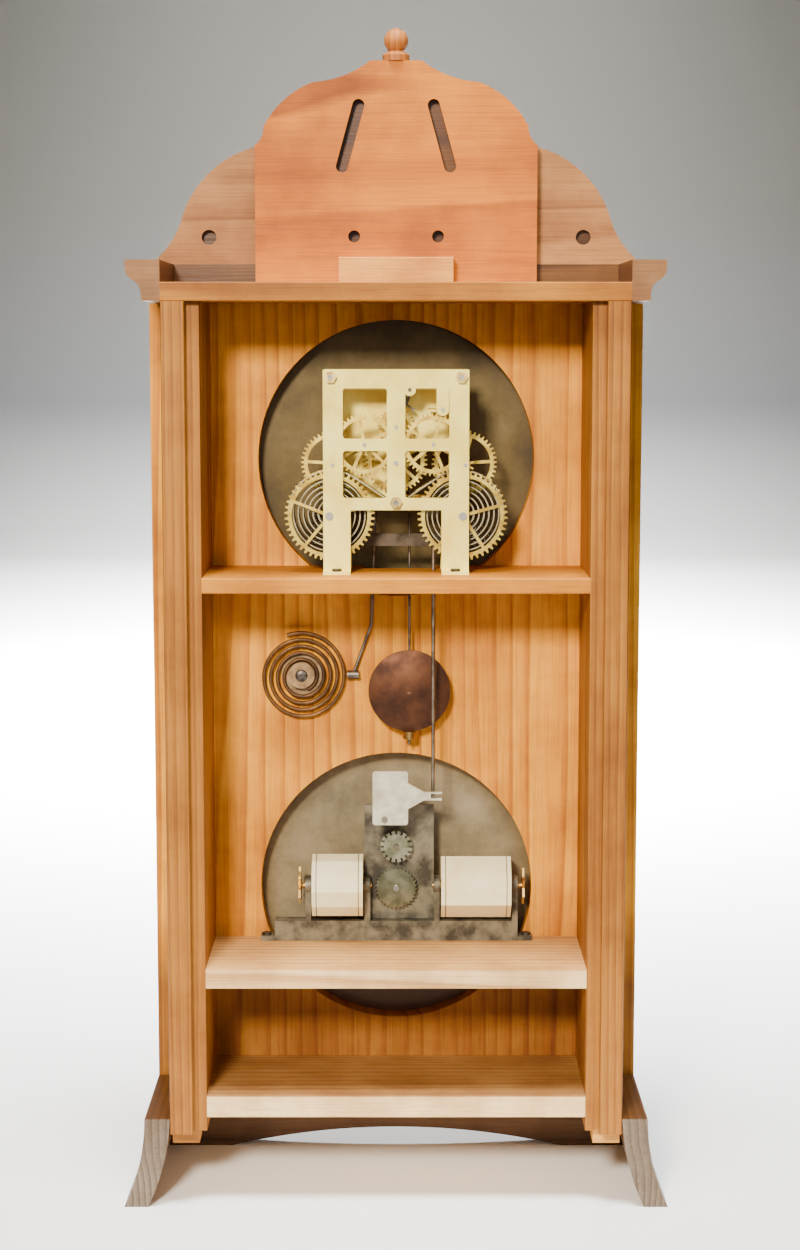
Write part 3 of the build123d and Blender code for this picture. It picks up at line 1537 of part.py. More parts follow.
def roller(span, sides, star_side):
    """One roller with its arbor and star wheel; star_side is -1 where the star stands on the left."""
    starts = upright_starts(span)
    outer_face = starts[0] if star_side < 0 else starts[1] + frame_upright
    star_start = outer_face + star_side * star_gap - (star_thickness if star_side < 0 else 0)
    arbor_ends = [starts[0] - roller_end_gap, starts[1] + frame_upright + roller_end_gap]
    arbor_ends[0 if star_side < 0 else 1] = star_start + (0 if star_side < 0 else star_thickness)
    with BuildPart() as drum:
        with BuildSketch(across(span[0])):
            with Locations((roller_y, roller_z)):
                RegularPolygon(roller_radius, sides)
        extrude(amount=span[1] - span[0])
        with BuildSketch(across(arbor_ends[0])):
            with Locations((roller_y, roller_z)):
                Circle(roller_arbor_radius)
        extrude(amount=arbor_ends[1] - arbor_ends[0])
        with BuildSketch(across(star_start)):
            with BuildLine():
                star_points = []
                for half_step in range(2 * sides):
                    reach = star_radius if half_step % 2 == 0 else star_radius * star_root_share
                    star_points.append(polar((roller_y, roller_z), reach, half_step * 180 / sides))
                Polyline(*star_points, close=True)
            make_face()
        extrude(amount=star_thickness)
    return drum.part


save(roller(month_roller_span, month_sides, -1), "month_roller")
save(roller(weekday_roller_span, weekday_sides, 1), "weekday_roller")

# Date wheel with one tooth for each day of the month, and the programme wheel of the month lengths

with BuildPart() as date_wheel:
    with BuildSketch(facing(date_wheel_y, calendar_centre)):
        with BuildLine():
            date_points = []
            for tooth in range(date_teeth):
                turn = tooth * 360 / date_teeth
                date_points.append(polar((0, 0), date_wheel_radius, turn))
                date_points.append(polar((0, 0), date_wheel_radius - date_tooth_depth, turn + date_tooth_lean))
            Polyline(*date_points, close=True)
        make_face()
    extrude(amount=date_wheel_thickness)
    date_arbor_end_y = hour_hand_y + hand_thickness + hand_gap / 2
    date_arbor_back_y = date_wheel_y - date_wheel_thickness - date_arbor_tail
    add_arbor(calendar_centre, date_arbor_end_y, date_arbor_back_y, date_arbor_radius)
save(date_wheel.part, "date_wheel")

with BuildPart() as programme_wheel:
    with BuildSketch(facing(programme_y, programme_place)):
        Circle(programme_radius)
        with PolarLocations(programme_radius, programme_notches):
            Rectangle(2 * programme_notch_depth, programme_notch_width, mode=Mode.SUBTRACT)
        Circle(roller_arbor_radius + pivot_clearance, mode=Mode.SUBTRACT)
    extrude(amount=programme_thickness)
save(programme_wheel.part, "programme_wheel")

# Lift train from the movement: the lift lever, the long link and the calendar's own lever

pin_gap = link_pin_radius + link_slot_gap

with BuildPart() as calendar_lever:
    with BuildSketch(facing(lever_y + lever_thickness / 2)):
        with Locations((lever_middle_x, (lever_top_z + lever_bottom_z) / 2)):
            RectangleRounded(2 * lever_half, lever_top_z - lever_bottom_z, lever_corner)
        beak_root_x = lever_middle_x + lever_half - lever_corner
        beak_neck_x = lever_spur[0] - lever_beak_neck
        beak_half = pin_gap + lever_spur_wall
        spur_end_x = lever_spur[0] + lever_spur_reach
        with BuildLine():
            Polyline(
                (beak_root_x, lever_spur[1] + lever_beak_rise),
                (beak_neck_x, lever_spur[1] + beak_half),
                (spur_end_x, lever_spur[1] + beak_half),
                (spur_end_x, lever_spur[1] - beak_half),
                (beak_neck_x, lever_spur[1] - beak_half),
                (beak_root_x, lever_spur[1] - lever_beak_rise),
                close=True,
            )
        make_face()
        with Locations((spur_end_x, lever_spur[1])):
            Rectangle(2 * (lever_spur_reach + pin_gap), 2 * pin_gap, mode=Mode.SUBTRACT)
        with Locations(lever_pivot):
            Circle(roller_arbor_radius + pivot_clearance, mode=Mode.SUBTRACT)
    extrude(amount=lever_thickness)
save(calendar_lever.part, "calendar_lever")

lift_y = inner_front_y - lift_gap

with BuildPart() as lift_lever:
    with BuildSketch(facing(lift_y)):
        lift_end_x = link_x + lift_width
        with Locations(((lift_pivot[0] + lift_end_x) / 2, lift_pivot[1])):
            SlotOverall(lift_end_x - lift_pivot[0] + lift_width, lift_height)
        with Locations(lift_pivot):
            Circle(arbor_radius + pivot_clearance, mode=Mode.SUBTRACT)
        with Locations((link_x, lift_pivot[1])):
            Circle(pin_gap, mode=Mode.SUBTRACT)
    extrude(amount=lift_thickness)
save(lift_lever.part, "lift_lever")

with BuildPart() as calendar_link:
    with BuildSketch(Plane.XY.offset(lever_spur[1] - link_end)):
        with Locations((link_x, link_y)):
            Circle(link_radius)
    extrude(amount=lift_pivot[1] - lever_spur[1] + 2 * link_end)
    add_arbor((link_x, lift_pivot[1]), lift_y + lift_gap / 2, link_y, link_pin_radius)
    add_arbor(lever_spur, link_y, lever_y - lever_thickness, link_pin_radius)
save(calendar_link.part, "calendar_link")

with BuildPart() as lift_stud:
    add_arbor(lift_pivot, inner_front_y, lift_y - lift_thickness - motion_gap, arbor_radius)
save(group([motion_stud.part, suspension_stud.part, hammer_stud.part, lift_stud.part]), "movement_studs")

# Round-head screws through the movement's feet and the calendar frame


def round_head_screw(place, head_floor_z):
    """A round-head wood screw standing upright at a place (x, y)."""
    with BuildPart() as screw:
        with BuildSketch(Plane.XY.offset(head_floor_z - screw_length)):
            with Locations(place):
                Circle(screw_shank_radius)
        extrude(amount=screw_length)
        with BuildSketch(Plane.XY.offset(head_floor_z)):
            with Locations(place):
                Circle(screw_head_radius)
        extrude(amount=screw_head_height)
        with BuildSketch(Plane.XY.offset(head_floor_z + screw_head_height)):
            with Locations(place):
                Rectangle(2 * screw_head_radius, screw_slot_width)
        extrude(amount=-screw_slot_depth, mode=Mode.SUBTRACT)
    return screw.part


screws = [round_head_screw(place, seat_top_z + plate_thickness) for place in foot_screw_places]
screws += [round_head_screw(place, shelf_top_z + frame_ear_thickness) for place in frame_screw_places]
save(group(screws), "round_head_screws")
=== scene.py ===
import math

import bmesh
import bpy
from mathutils import Matrix, Vector


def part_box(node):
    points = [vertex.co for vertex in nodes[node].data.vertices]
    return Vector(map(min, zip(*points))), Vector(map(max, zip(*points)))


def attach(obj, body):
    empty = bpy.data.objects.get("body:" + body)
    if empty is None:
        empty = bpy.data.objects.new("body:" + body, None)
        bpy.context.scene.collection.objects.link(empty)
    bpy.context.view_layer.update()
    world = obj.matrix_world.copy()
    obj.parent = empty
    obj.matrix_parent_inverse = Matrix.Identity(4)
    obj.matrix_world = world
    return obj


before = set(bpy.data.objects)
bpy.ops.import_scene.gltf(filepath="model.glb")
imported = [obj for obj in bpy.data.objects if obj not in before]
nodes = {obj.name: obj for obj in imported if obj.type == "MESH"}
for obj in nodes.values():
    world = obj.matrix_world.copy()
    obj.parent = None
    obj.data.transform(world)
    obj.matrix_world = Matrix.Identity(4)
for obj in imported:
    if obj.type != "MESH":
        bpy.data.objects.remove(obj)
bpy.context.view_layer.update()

# Case sides: two walnut boards with upright grain, housed for the shelves. They are bare and
# hand-rubbed inside and on their back edges, a soft dull brown, and oiled dark outside.


def linear(code):
    """An sRGB hex colour as Blender's linear numbers."""
    values = [int(code[place:place + 2], 16) / 255 for place in (1, 3, 5)]
    curved = [v / 12.92 if v <= 0.04045 else ((v + 0.055) / 1.055) ** 2.4 for v in values]
    return (*curved, 1.0)


def join(tree, node, links):
    """Joins inputs, by name or place, to given sockets or to the first live output of given nodes."""
    for name, source in links.items():
        if isinstance(source, bpy.types.Node):
            source = next(socket for socket in source.outputs if socket.enabled)
        tree.links.new(source, node.inputs[name])


def add_node(tree, kind, settings=None, links=None):
    """Adds one shader node with its settings, its colour stops and its incoming links."""
    node = tree.nodes.new("ShaderNode" + kind)
    for name, value in (settings or {}).items():
        if name == "stops":
            while len(node.color_ramp.elements) < len(value):
                node.color_ramp.elements.new(0.5)
            for element, (position, colour) in zip(node.color_ramp.elements, value):
                element.position = position
                element.color = colour
        elif isinstance(name, int) or name in node.inputs:
            node.inputs[name].default_value = value
        else:
            setattr(node, name, value)
    join(tree, node, links or {})
    return node


def new_material(name, **sockets):
    """A material with its shader's plain numbers set, its tree, its shader and its Object place."""
    material = bpy.data.materials.new(name)
    material.use_nodes = True
    tree = material.node_tree
    shader = tree.nodes["Principled BSDF"]
    for socket, value in sockets.items():
        shader.inputs[socket.replace("_", " ")].default_value = value
    place = add_node(tree, "TexCoord").outputs["Object"]
    return material, tree, shader, place


def dress(material, *names):
    """Gives CAD nodes their finish."""
    for name in names:
        slots = nodes[name].data.materials
        slots.clear()
        slots.append(material)


# a colour Mix node's inputs by place: its share, its first colour and its second colour
mix_share, mix_first, mix_second = 0, 6, 7
white = linear("#ffffff")
wave_scale_per_mm = 314.0  # the Scale at which a Wave node's lines stand 1 mm apart
grain_stretch = 14  # growth lines are drawn out this much along the grain


def board_wood(name, along, colours, start, ring_mm, stains_and_shade=()):
    """Sawn board: growth lines ring_mm apart, pores and soft ageing.

    along is the axis of the grain, and start moves the pattern so that no two boards match.
    A stain is (axis, from mm, to mm, colour, roughness): oil, dust or painted shade that
    begins at that place and darkens the wood beyond it. Along X it works on both sides of
    the middle.
    """
    material, tree, shader, place = new_material(name, IOR=1.45, Specular_IOR_Level=0.3)
    pale, mid, dark = (linear(code) for code in colours)
    grain = "XYZ".index(along)
    # growth lines crowd and spread over about 70 mm
    drawn_out = [1.0, 1.0, 1.0]
    drawn_out[grain] = 1 / grain_stretch
    drawn = add_node(tree, "Mapping", {"Scale": drawn_out, "Location": start}, {"Vector": place})
    growth = add_node(tree, "TexWave",
                      {"bands_direction": "Y" if along == "X" else "X", "wave_profile": "SAW",
                       "Scale": wave_scale_per_mm / ring_mm, "Distortion": 16.0, "Detail": 2.0,
                       "Detail Scale": ring_mm / 22, "Detail Roughness": 0.4},
                      {"Vector": drawn})
    lines = add_node(tree, "ValToRGB",
                     {"stops": [(0.0, pale), (0.6, mid), (0.9, dark), (1.0, pale)]},
                     {"Fac": growth.outputs["Fac"]})
    # broad light and dark zones of the plank, about 50 mm wide and 700 mm long
    zone = add_node(tree, "TexNoise", {"Scale": 1000 / 50, "Detail": 2.0}, {"Vector": drawn})
    zoned = add_node(tree, "MapRange",
                     {"From Min": 0.35, "From Max": 0.65, "To Min": 0.12, "To Max": 0.62},
                     {"Value": zone})
    wood = add_node(tree, "Mix", {"data_type": "RGBA", mix_second: mid},
                    {mix_share: zoned, mix_first: lines})
    # pores and saw streaks, about 1 mm wide and 50 mm long: finer ones would not show
    thin = [1000 / 1.2] * 3
    thin[grain] = 1000 / 50
    fine = add_node(tree, "Mapping", {"Scale": thin, "Location": start}, {"Vector": place})
    streak = add_node(tree, "TexNoise", {"Scale": 1.0, "Detail": 3.0, "Roughness": 0.6},
                      {"Vector": fine})
    streaked = add_node(tree, "ValToRGB", {"stops": [(0.3, linear("#cdb89c")), (0.55, white)]},
                        {"Fac": streak})
    grained = add_node(tree, "Mix", {"data_type": "RGBA", "blend_type": "MULTIPLY", mix_share: 0.55},
                       {mix_first: wood, mix_second: streaked})
    # handling dirt and light ageing in patches about 80 mm across
    patch = add_node(tree, "TexNoise", {"Scale": 1000 / 80, "Detail": 5.0, "Roughness": 0.62},
                     {"Vector": place})
    aged = add_node(tree, "ValToRGB", {"stops": [(0.34, linear("#b08f6c")), (0.6, white)]},
                    {"Fac": patch})
    colour = add_node(tree, "Mix", {"data_type": "RGBA", "blend_type": "MULTIPLY", mix_share: 0.65},
                      {mix_first: grained, mix_second: aged})
    rough = add_node(tree, "MapRange", {"To Min": 0.48, "To Max": 0.7}, {"Value": streak})
    parts = add_node(tree, "SeparateXYZ", None, {"Vector": place})
    # each entry darkens the wood from its place on, be it real oil and dust or painted shade
    for axis, begins, ends, code, stain_and_shade_rough in stains_and_shade:
        reach = parts.outputs[axis]
        if axis == "X":
            reach = add_node(tree, "Math", {"operation": "ABSOLUTE"}, {0: reach})
        share = add_node(tree, "MapRange", {"From Min": begins / 1000, "From Max": ends / 1000},
                         {"Value": reach})
        colour = add_node(tree, "Mix",
                          {"data_type": "RGBA", "blend_type": "MULTIPLY", mix_second: linear(code)},
                          {mix_share: share, mix_first: colour})
        rough = add_node(tree, "MapRange", {"To Max": stain_and_shade_rough},
                         {"Value": share, "To Min": rough})
    bump = add_node(tree, "Bump", {"Strength": 0.25, "Distance": 0.0004}, {"Height": streak})
    join(tree, shader, {"Base Color": colour, "Roughness": rough, "Normal": bump})
    return material


side_colours = ("#b27a2a", "#9f661f", "#774613")
oiled_sides = [("X", 149.5, 149.8, "#8f8878", 0.34)]
for side, start in (("left", (1.3, 0.2, 0.0)), ("right", (7.1, 3.3, 2.0))):
    side_wood = board_wood("walnut_side_" + side, "Z", side_colours, start, 5.0, oiled_sides)
    dress(side_wood, side + "_side_board")

# Front board: one wide walnut board between the dials, the warmest wood of the case seen from
# inside. Its dial side is oiled dark, and below the shelf it is dull and darkened by painted
# shade, which takes the orange out of it.

front_colours = ("#ffb928", "#f2a21e", "#be6e12")
# the Y entry oils the dial side; the Z entry is painted shade below the lower shelf
front_oil_and_painted_shade = [("Y", 43.4, 43.8, "#6a6050", 0.34), ("Z", 175, 125, "#a69ee0", 0.66)]
front_wood = board_wood("walnut_front_board", "Z", front_colours, (3.0, 1.0, 5.0), 12.0, front_oil_and_painted_shade)
dress(front_wood, "front_board")

# Shelves, bottom, seat and top board: pine, planed by hand, grain from side to side, housed in
# the case sides. Shelf and bottom are pale on their handled back edges and darker on top,
# partly from dust and partly as painted shade.

shelf_colours = ("#ffe0a8", "#f6cf8c", "#c69458")
# the tops of shelf and bottom are darkened, partly dust and partly painted shade
shelf_top_dust_and_shade = [("Z", 159.0, 159.5, "#d9c4a4", 0.7)]
bottom_top_dust_and_shade = [("Z", 73.0, 73.5, "#a38c70", 0.72)]
seat_colours = ("#dc9820", "#c87d15", "#95560c")
top_colours = ("#be8024", "#a66819", "#79430d")
dress(board_wood("pine_shelf", "X", shelf_colours, (0.0, 2.0, 1.0), 8.0, shelf_top_dust_and_shade), "lower_shelf")
dress(board_wood("pine_bottom", "X", shelf_colours, (5.0, 1.0, 4.0), 8.0, bottom_top_dust_and_shade), "bottom_board")
dress(board_wood("pine_seat", "X", seat_colours, (2.0, 6.0, 3.0), 7.0), "seat_board")
dress(board_wood("pine_top", "X", top_colours, (8.0, 2.0, 7.0), 8.0), "top_board")

# Skirt, cornice and glue blocks: moulded walnut strips, mitred at the front corners, with rough
# pine blocks glued behind them. The sawn back ends are bare, grey at the feet, and the
# mouldings are oiled to match the front. The skirt's dark brown is partly the walnut's own and
# partly painted shade for its inner face under the bottom board.

# dark brown: the walnut's own colour, deepened as painted shade under the bottom board
skirt_colours_with_shade = ("#6c5038", "#58402b", "#3c2c1f")
oiled_skirt = [("Y", 52.6, 53.4, "#ffe0a0", 0.36)]
foot_colours = ("#87796a", "#716454", "#4f4538")
oiled_feet = [("Y", -66.6, -66.0, "#cb9559", 0.36)]
cornice_colours = ("#ab8056", "#8e6641", "#65462a")
oiled_cornice = [("Y", -66.6, -66.0, "#a4936f", 0.36)]
block_colours = ("#f6b85c", "#dd9a40", "#a56a26")
dress(board_wood("walnut_skirt", "X", skirt_colours_with_shade, (4.0, 4.0, 0.0), 5.0, oiled_skirt), "skirt_front")
dress(board_wood("walnut_skirt_side", "Y", foot_colours, (1.0, 7.0, 3.0), 5.0, oiled_feet),
      "skirt_sides")
dress(board_wood("walnut_cornice", "X", cornice_colours, (9.0, 1.0, 2.0), 5.0, oiled_cornice), "cornice")
dress(board_wood("pine_blocks", "X", block_colours, (6.0, 3.0, 8.0), 6.0), "glue_blocks")

# Crest: a sawn gable board with blind slots, two scrolls glued on in front and a turned finial
# pegged on top. The back of the board is bare and orange, the scrolls a duller brown, and the
# fronts are oiled dark; the same dark colour on the slot floors is painted shade.

crest_colours = ("#dd840a", "#c87006", "#964a03")
# beyond this depth: oil on the front face, and painted shade on the slot floors
crest_oil_and_slot_shade = [("Y", 14.2, 14.6, "#75756a", 0.34)]
scroll_colours = ("#b9874f", "#a36f3e", "#784c28")
oiled_scrolls = [("Y", 28.2, 28.6, "#8f8878", 0.34)]
finial_colours = ("#d68d44", "#bb7230", "#854a1e")
dress(board_wood("walnut_crest", "X", crest_colours, (2.0, 9.0, 6.0), 9.0, crest_oil_and_slot_shade), "crest_board")
dress(board_wood("walnut_scrolls", "X", scroll_colours, (5.0, 5.0, 1.0), 7.0, oiled_scrolls),
      "crest_scrolls")
dress(board_wood("walnut_finial", "Z", finial_colours, (3.0, 3.0, 3.0), 4.0), "crest_finial")

# Dial pans: zinc discs with a rolled rim. The back is bare, spotted metal, darkened in dark brown
# by painted shade below the shelves and more softly towards the rim, and the dial side carries
# cream paint, yellowed at the rim.

# in mm: the dials' middles, the pans' radius, where their paint starts, how softly painted shade ends
time_z = 493.0
calendar_z = 196.0
pan_radius = 99.0
painted_from_y = 44.5
painted_shade_fade = 6.0


def dial_sheet(name, colours, dial_z, painted_shade_z):
    """Bare zinc behind, with painted shade below a given height, and old cream paint in front; sizes in
    mm.
    """
    material, tree, shader, place = new_material(name, IOR=1.5)
    spots = add_node(tree, "TexNoise", {"Scale": 1000 / 35, "Detail": 6.0, "Roughness": 0.68},
                     {"Vector": place})
    worn, base, bright = (linear(code) for code in colours)
    bare_zinc = add_node(tree, "ValToRGB", {"stops": [(0.32, worn), (0.52, base), (0.78, bright)]},
                         {"Fac": spots})
    middle = add_node(tree, "Mapping", {"Location": (0, 0, -dial_z / 1000)}, {"Vector": place})
    from_axis = add_node(tree, "VectorMath", {"operation": "MULTIPLY", 1: (1, 0, 1)}, {0: middle})
    reach = add_node(tree, "VectorMath", {"operation": "LENGTH"}, {0: from_axis})
    share = add_node(tree, "Math", {"operation": "MULTIPLY", 1: 1000 / pan_radius}, {0: reach})
    paint = add_node(tree, "ValToRGB",
                     {"stops": [(0.5, linear("#efe6cd")), (0.88, linear("#e6d8b4")),
                                (1.0, linear("#c8b384"))]},
                     {"Fac": share})
    parts = add_node(tree, "SeparateXYZ", None, {"Vector": place})
    front = add_node(tree, "Math", {"operation": "GREATER_THAN", 1: painted_from_y / 1000},
                     {0: parts.outputs["Y"]})
    # painted shade darkens the zinc towards its rolled rim, where the pan's edge stands in shadow
    painted_rim_shade = add_node(tree, "MapRange", {"From Min": 0.078, "From Max": 0.097}, {"Value": reach})
    shaded_zinc = add_node(tree, "Mix",
                           {"data_type": "RGBA", "blend_type": "MULTIPLY",
                            mix_second: linear("#c6b88e")},
                           {mix_share: painted_rim_shade, mix_first: bare_zinc})
    # painted shade: dark brown below the given height, where the pan lies in a shelf's shadow
    stain_and_shade_mask = add_node(tree, "MapRange",
                     {"From Min": (painted_shade_z + painted_shade_fade) / 1000,
                      "From Max": (painted_shade_z - painted_shade_fade) / 1000},
                     {"Value": parts.outputs["Z"]})
    zinc = add_node(tree, "Mix", {"data_type": "RGBA", mix_second: linear("#4a2f1a")},
                    {mix_share: stain_and_shade_mask, mix_first: shaded_zinc})
    colour = add_node(tree, "Mix", {"data_type": "RGBA"},
                      {mix_share: front, mix_first: zinc, mix_second: paint})
    bare = add_node(tree, "MapRange", {"To Min": 0.3, "To Max": 0.0}, {"Value": front})
    dull = add_node(tree, "MapRange", {"To Min": 0.6, "To Max": 0.42}, {"Value": spots})
    dents = add_node(tree, "Bump", {"Strength": 0.2, "Distance": 0.0006}, {"Height": spots})
    join(tree, shader, {"Base Color": colour, "Metallic": bare, "Roughness": dull, "Normal": dents})
    return material


# the time dial's zinc is darker and more olive than the calendar's, as painted shade
dress(dial_sheet("zinc_time_dial", ("#40330f", "#584818", "#6e5d36"), time_z, 405), "time_dial")
dress(dial_sheet("zinc_calendar_dial", ("#675d48", "#887b5e", "#a6987a"), calendar_z, 150),
      "calendar_dial")

# Printing on the dials: a minute track and Roman hours on the time dial, the days of the month
# round the calendar dial. Flat black ink on the paint, slightly worn and dull.

ink, ink_tree, ink_shader, ink_place = new_material("printers_ink", Roughness=0.55)
ink_wear = add_node(ink_tree, "TexNoise", {"Scale": 1000 / 3, "Detail": 3.0}, {"Vector": ink_place})
ink_tint = add_node(ink_tree, "ValToRGB",
                    {"stops": [(0.4, linear("#1a1714")), (0.75, linear("#3b352c"))]},
                    {"Fac": ink_wear})
join(ink_tree, ink_shader, {"Base Color": ink_tint})

ink_y = 0.0454  # in metres, a hair in front of the paint
full_turn = 2 * math.pi
same_place = 0.000002
# stands a drawing from the XY plane up in the dial's plane, to be read from +Y
upright_face = Matrix(((-1, 0, 0, 0), (0, 0, 1, 0), (0, 1, 0, 0), (0, 0, 0, 1)))


def finish_piece(name, mesh, material, body):
    """Turns a finished mesh into a piece that rides on a body."""
    piece = bpy.data.objects.new(name, mesh)
    bpy.context.scene.collection.objects.link(piece)
    mesh.materials.clear()
    mesh.materials.append(material)
    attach(piece, body)


def from_bmesh(name, shape):
    """Writes a bmesh out as a mesh."""
    mesh = bpy.data.meshes.new(name)
    shape.to_mesh(mesh)
    shape.free()
    return mesh


def add_print_ring(shape, inner, outer):
    """A flat printed ring, in mm, drawn in the dial's own plane."""
    ends = [shape.verts.new((0, radius / 1000, 0)) for radius in (inner, outer)]
    edge = shape.edges.new(ends)
    bmesh.ops.spin(shape, geom=ends + [edge], cent=(0, 0, 0), axis=(0, 0, 1), angle=full_turn,
                   steps=120, use_merge=True)


def add_print_marks(shape, count, inner, outer, width):
    """Short radial marks, evenly spaced round the dial."""
    made = bmesh.ops.create_grid(shape, x_segments=1, y_segments=1, size=0.5)
    size = Matrix.Diagonal((width / 1000, (outer - inner) / 1000, 1, 1))
    middle = Matrix.Translation((0, (inner + outer) / 2000, 0))
    bmesh.ops.transform(shape, matrix=middle @ size, verts=made["verts"])
    faces = list({face for vert in made["verts"] for face in vert.link_faces})
    bmesh.ops.spin(shape, geom=faces, cent=(0, 0, 0), axis=(0, 0, 1), angle=full_turn,
                   steps=count, use_duplicate=True)


def add_print_words(shape, words, height, reach, stretch):
    """Numbers set round the dial, feet to its middle, clockwise from the first place after the top."""
    for place, word in enumerate(words, start=1):
        turn = Matrix.Rotation(-full_turn * place / len(words), 4, "Z")
        curve = bpy.data.curves.new("number", "FONT")
        curve.body = word
        curve.size = height / 1000
        curve.align_x = "CENTER"
        curve.align_y = "CENTER"
        letter = bpy.data.objects.new("number", curve)
        mesh = bpy.data.meshes.new_from_object(letter)
        mesh.transform(Matrix.Diagonal((stretch, 1, 1, 1)))
        mesh.transform(turn)
        mesh.transform(Matrix.Translation(turn @ Vector((0, reach / 1000, 0))))
        shape.from_mesh(mesh)
        bpy.data.objects.remove(letter)
        bpy.data.curves.remove(curve)
        bpy.data.meshes.remove(mesh)


def dial_print(name, shape, dial_z):
    """Lays finished printing on a dial's face."""
    bmesh.ops.remove_doubles(shape, verts=shape.verts, dist=same_place)
    bmesh.ops.recalc_face_normals(shape, faces=shape.faces)
    for face in shape.faces:
        if face.normal.z < 0:
            face.normal_flip()
    on_face = Matrix.Translation((0, ink_y, dial_z / 1000)) @ upright_face
    bmesh.ops.transform(shape, matrix=on_face, verts=shape.verts)
    finish_piece(name, from_bmesh(name, shape), ink, "case")


hours = ["I", "II", "III", "IIII", "V", "VI", "VII", "VIII", "IX", "X", "XI", "XII"]
time_print = bmesh.new()
add_print_ring(time_print, 86.4, 87.0)
add_print_ring(time_print, 82.2, 82.6)
add_print_marks(time_print, 60, 82.6, 86.4, 0.5)
add_print_marks(time_print, 12, 82.0, 87.0, 1.5)
add_print_words(time_print, hours, 19.0, 69.0, 0.78)
add_print_ring(time_print, 8.0, 8.4)
dial_print("time_dial_print", time_print, time_z)

days = [str(day) for day in range(1, 32)]
calendar_print = bmesh.new()
add_print_ring(calendar_print, 87.4, 88.0)
add_print_ring(calendar_print, 73.6, 74.0)
add_print_words(calendar_print, days, 9.5, 80.6, 0.85)
add_print_marks(calendar_print, 31, 71.0, 73.6, 0.5)
add_print_ring(calendar_print, 8.0, 8.4)
dial_print("calendar_dial_print", calendar_print, calendar_z)

# Bezels and their hardware: spun brass rings, lacquered and rubbed bright, with sheet glass in
# them, small brass hinges and catches filed from strip, and plain steel hinge pins.


def metal(name, base, worn, tint_mm, roughness, brushed=None, metallic=1.0):
    """Handled metal: two shades in patches tint_mm wide, and a gloss that fingers have dulled.

    brushed is the axis of its rolling or scraping lines. Tarnish, dirt or tin over the metal
    makes it less metallic.
    """
    material, tree, shader, place = new_material(name, Metallic=metallic)
    patch = add_node(tree, "TexNoise", {"Scale": 1000 / tint_mm, "Detail": 5.0, "Roughness": 0.6},
                     {"Vector": place})
    tint = add_node(tree, "ValToRGB", {"stops": [(0.38, linear(worn)), (0.6, linear(base))]},
                    {"Fac": patch})
    dull = add_node(tree, "MapRange",
                    {"From Min": 0.3, "From Max": 0.7, "To Min": roughness + 0.14, "To Max": roughness},
                    {"Value": patch})
    join(tree, shader, {"Base Color": tint, "Roughness": dull})
    if brushed:
        # the lines are drawn 0.8 mm wide and 25 mm long, coarser than real ones, so that they show
        scale = [1000 / 0.8] * 3
        scale["XYZ".index(brushed)] = 1000 / 25
        lines = add_node(tree, "Mapping", {"Scale": scale}, {"Vector": place})
        brush = add_node(tree, "TexNoise", {"Scale": 1.0, "Detail": 2.0}, {"Vector": lines})
        bump = add_node(tree, "Bump", {"Strength": 0.18, "Distance": 0.0002}, {"Height": brush})
        join(tree, shader, {"Normal": bump})
    return material


dress(metal("spun_brass", "#c9a35a", "#8f6d35", 30.0, 0.24), "time_bezel", "calendar_bezel")
dress(metal("hinge_brass", "#b8924f", "#836332", 8.0, 0.34, "Z"), "bezel_hinge_leaves", "bezel_catches")
dress(metal("hinge_pin_steel", "#8c8a86", "#5d5a55", 5.0, 0.36), "bezel_hinge_pins")

# old sheet glass is clear, a little green, and waves softly over about 60 mm
glass, glass_tree, glass_shader, glass_place = new_material("sheet_glass", IOR=1.45, Roughness=0.02,
                                                            Transmission_Weight=1.0)
glass_shader.inputs["Base Color"].default_value = linear("#f4fbf8")
glass_wave = add_node(glass_tree, "TexNoise", {"Scale": 1000 / 60, "Detail": 1.0},
                      {"Vector": glass_place})
glass_bump = add_node(glass_tree, "Bump", {"Strength": 0.05, "Distance": 0.001}, {"Height": glass_wave})
join(glass_tree, glass_shader, {"Normal": glass_bump})
dress(glass, "time_glass", "calendar_glass")

# Small fixings: slotted screws in the hinge leaves and in the gong's boss, and round tacks that
# hold each dial pan to the board under its bezel. Turned brass and iron, rubbed on their domes.


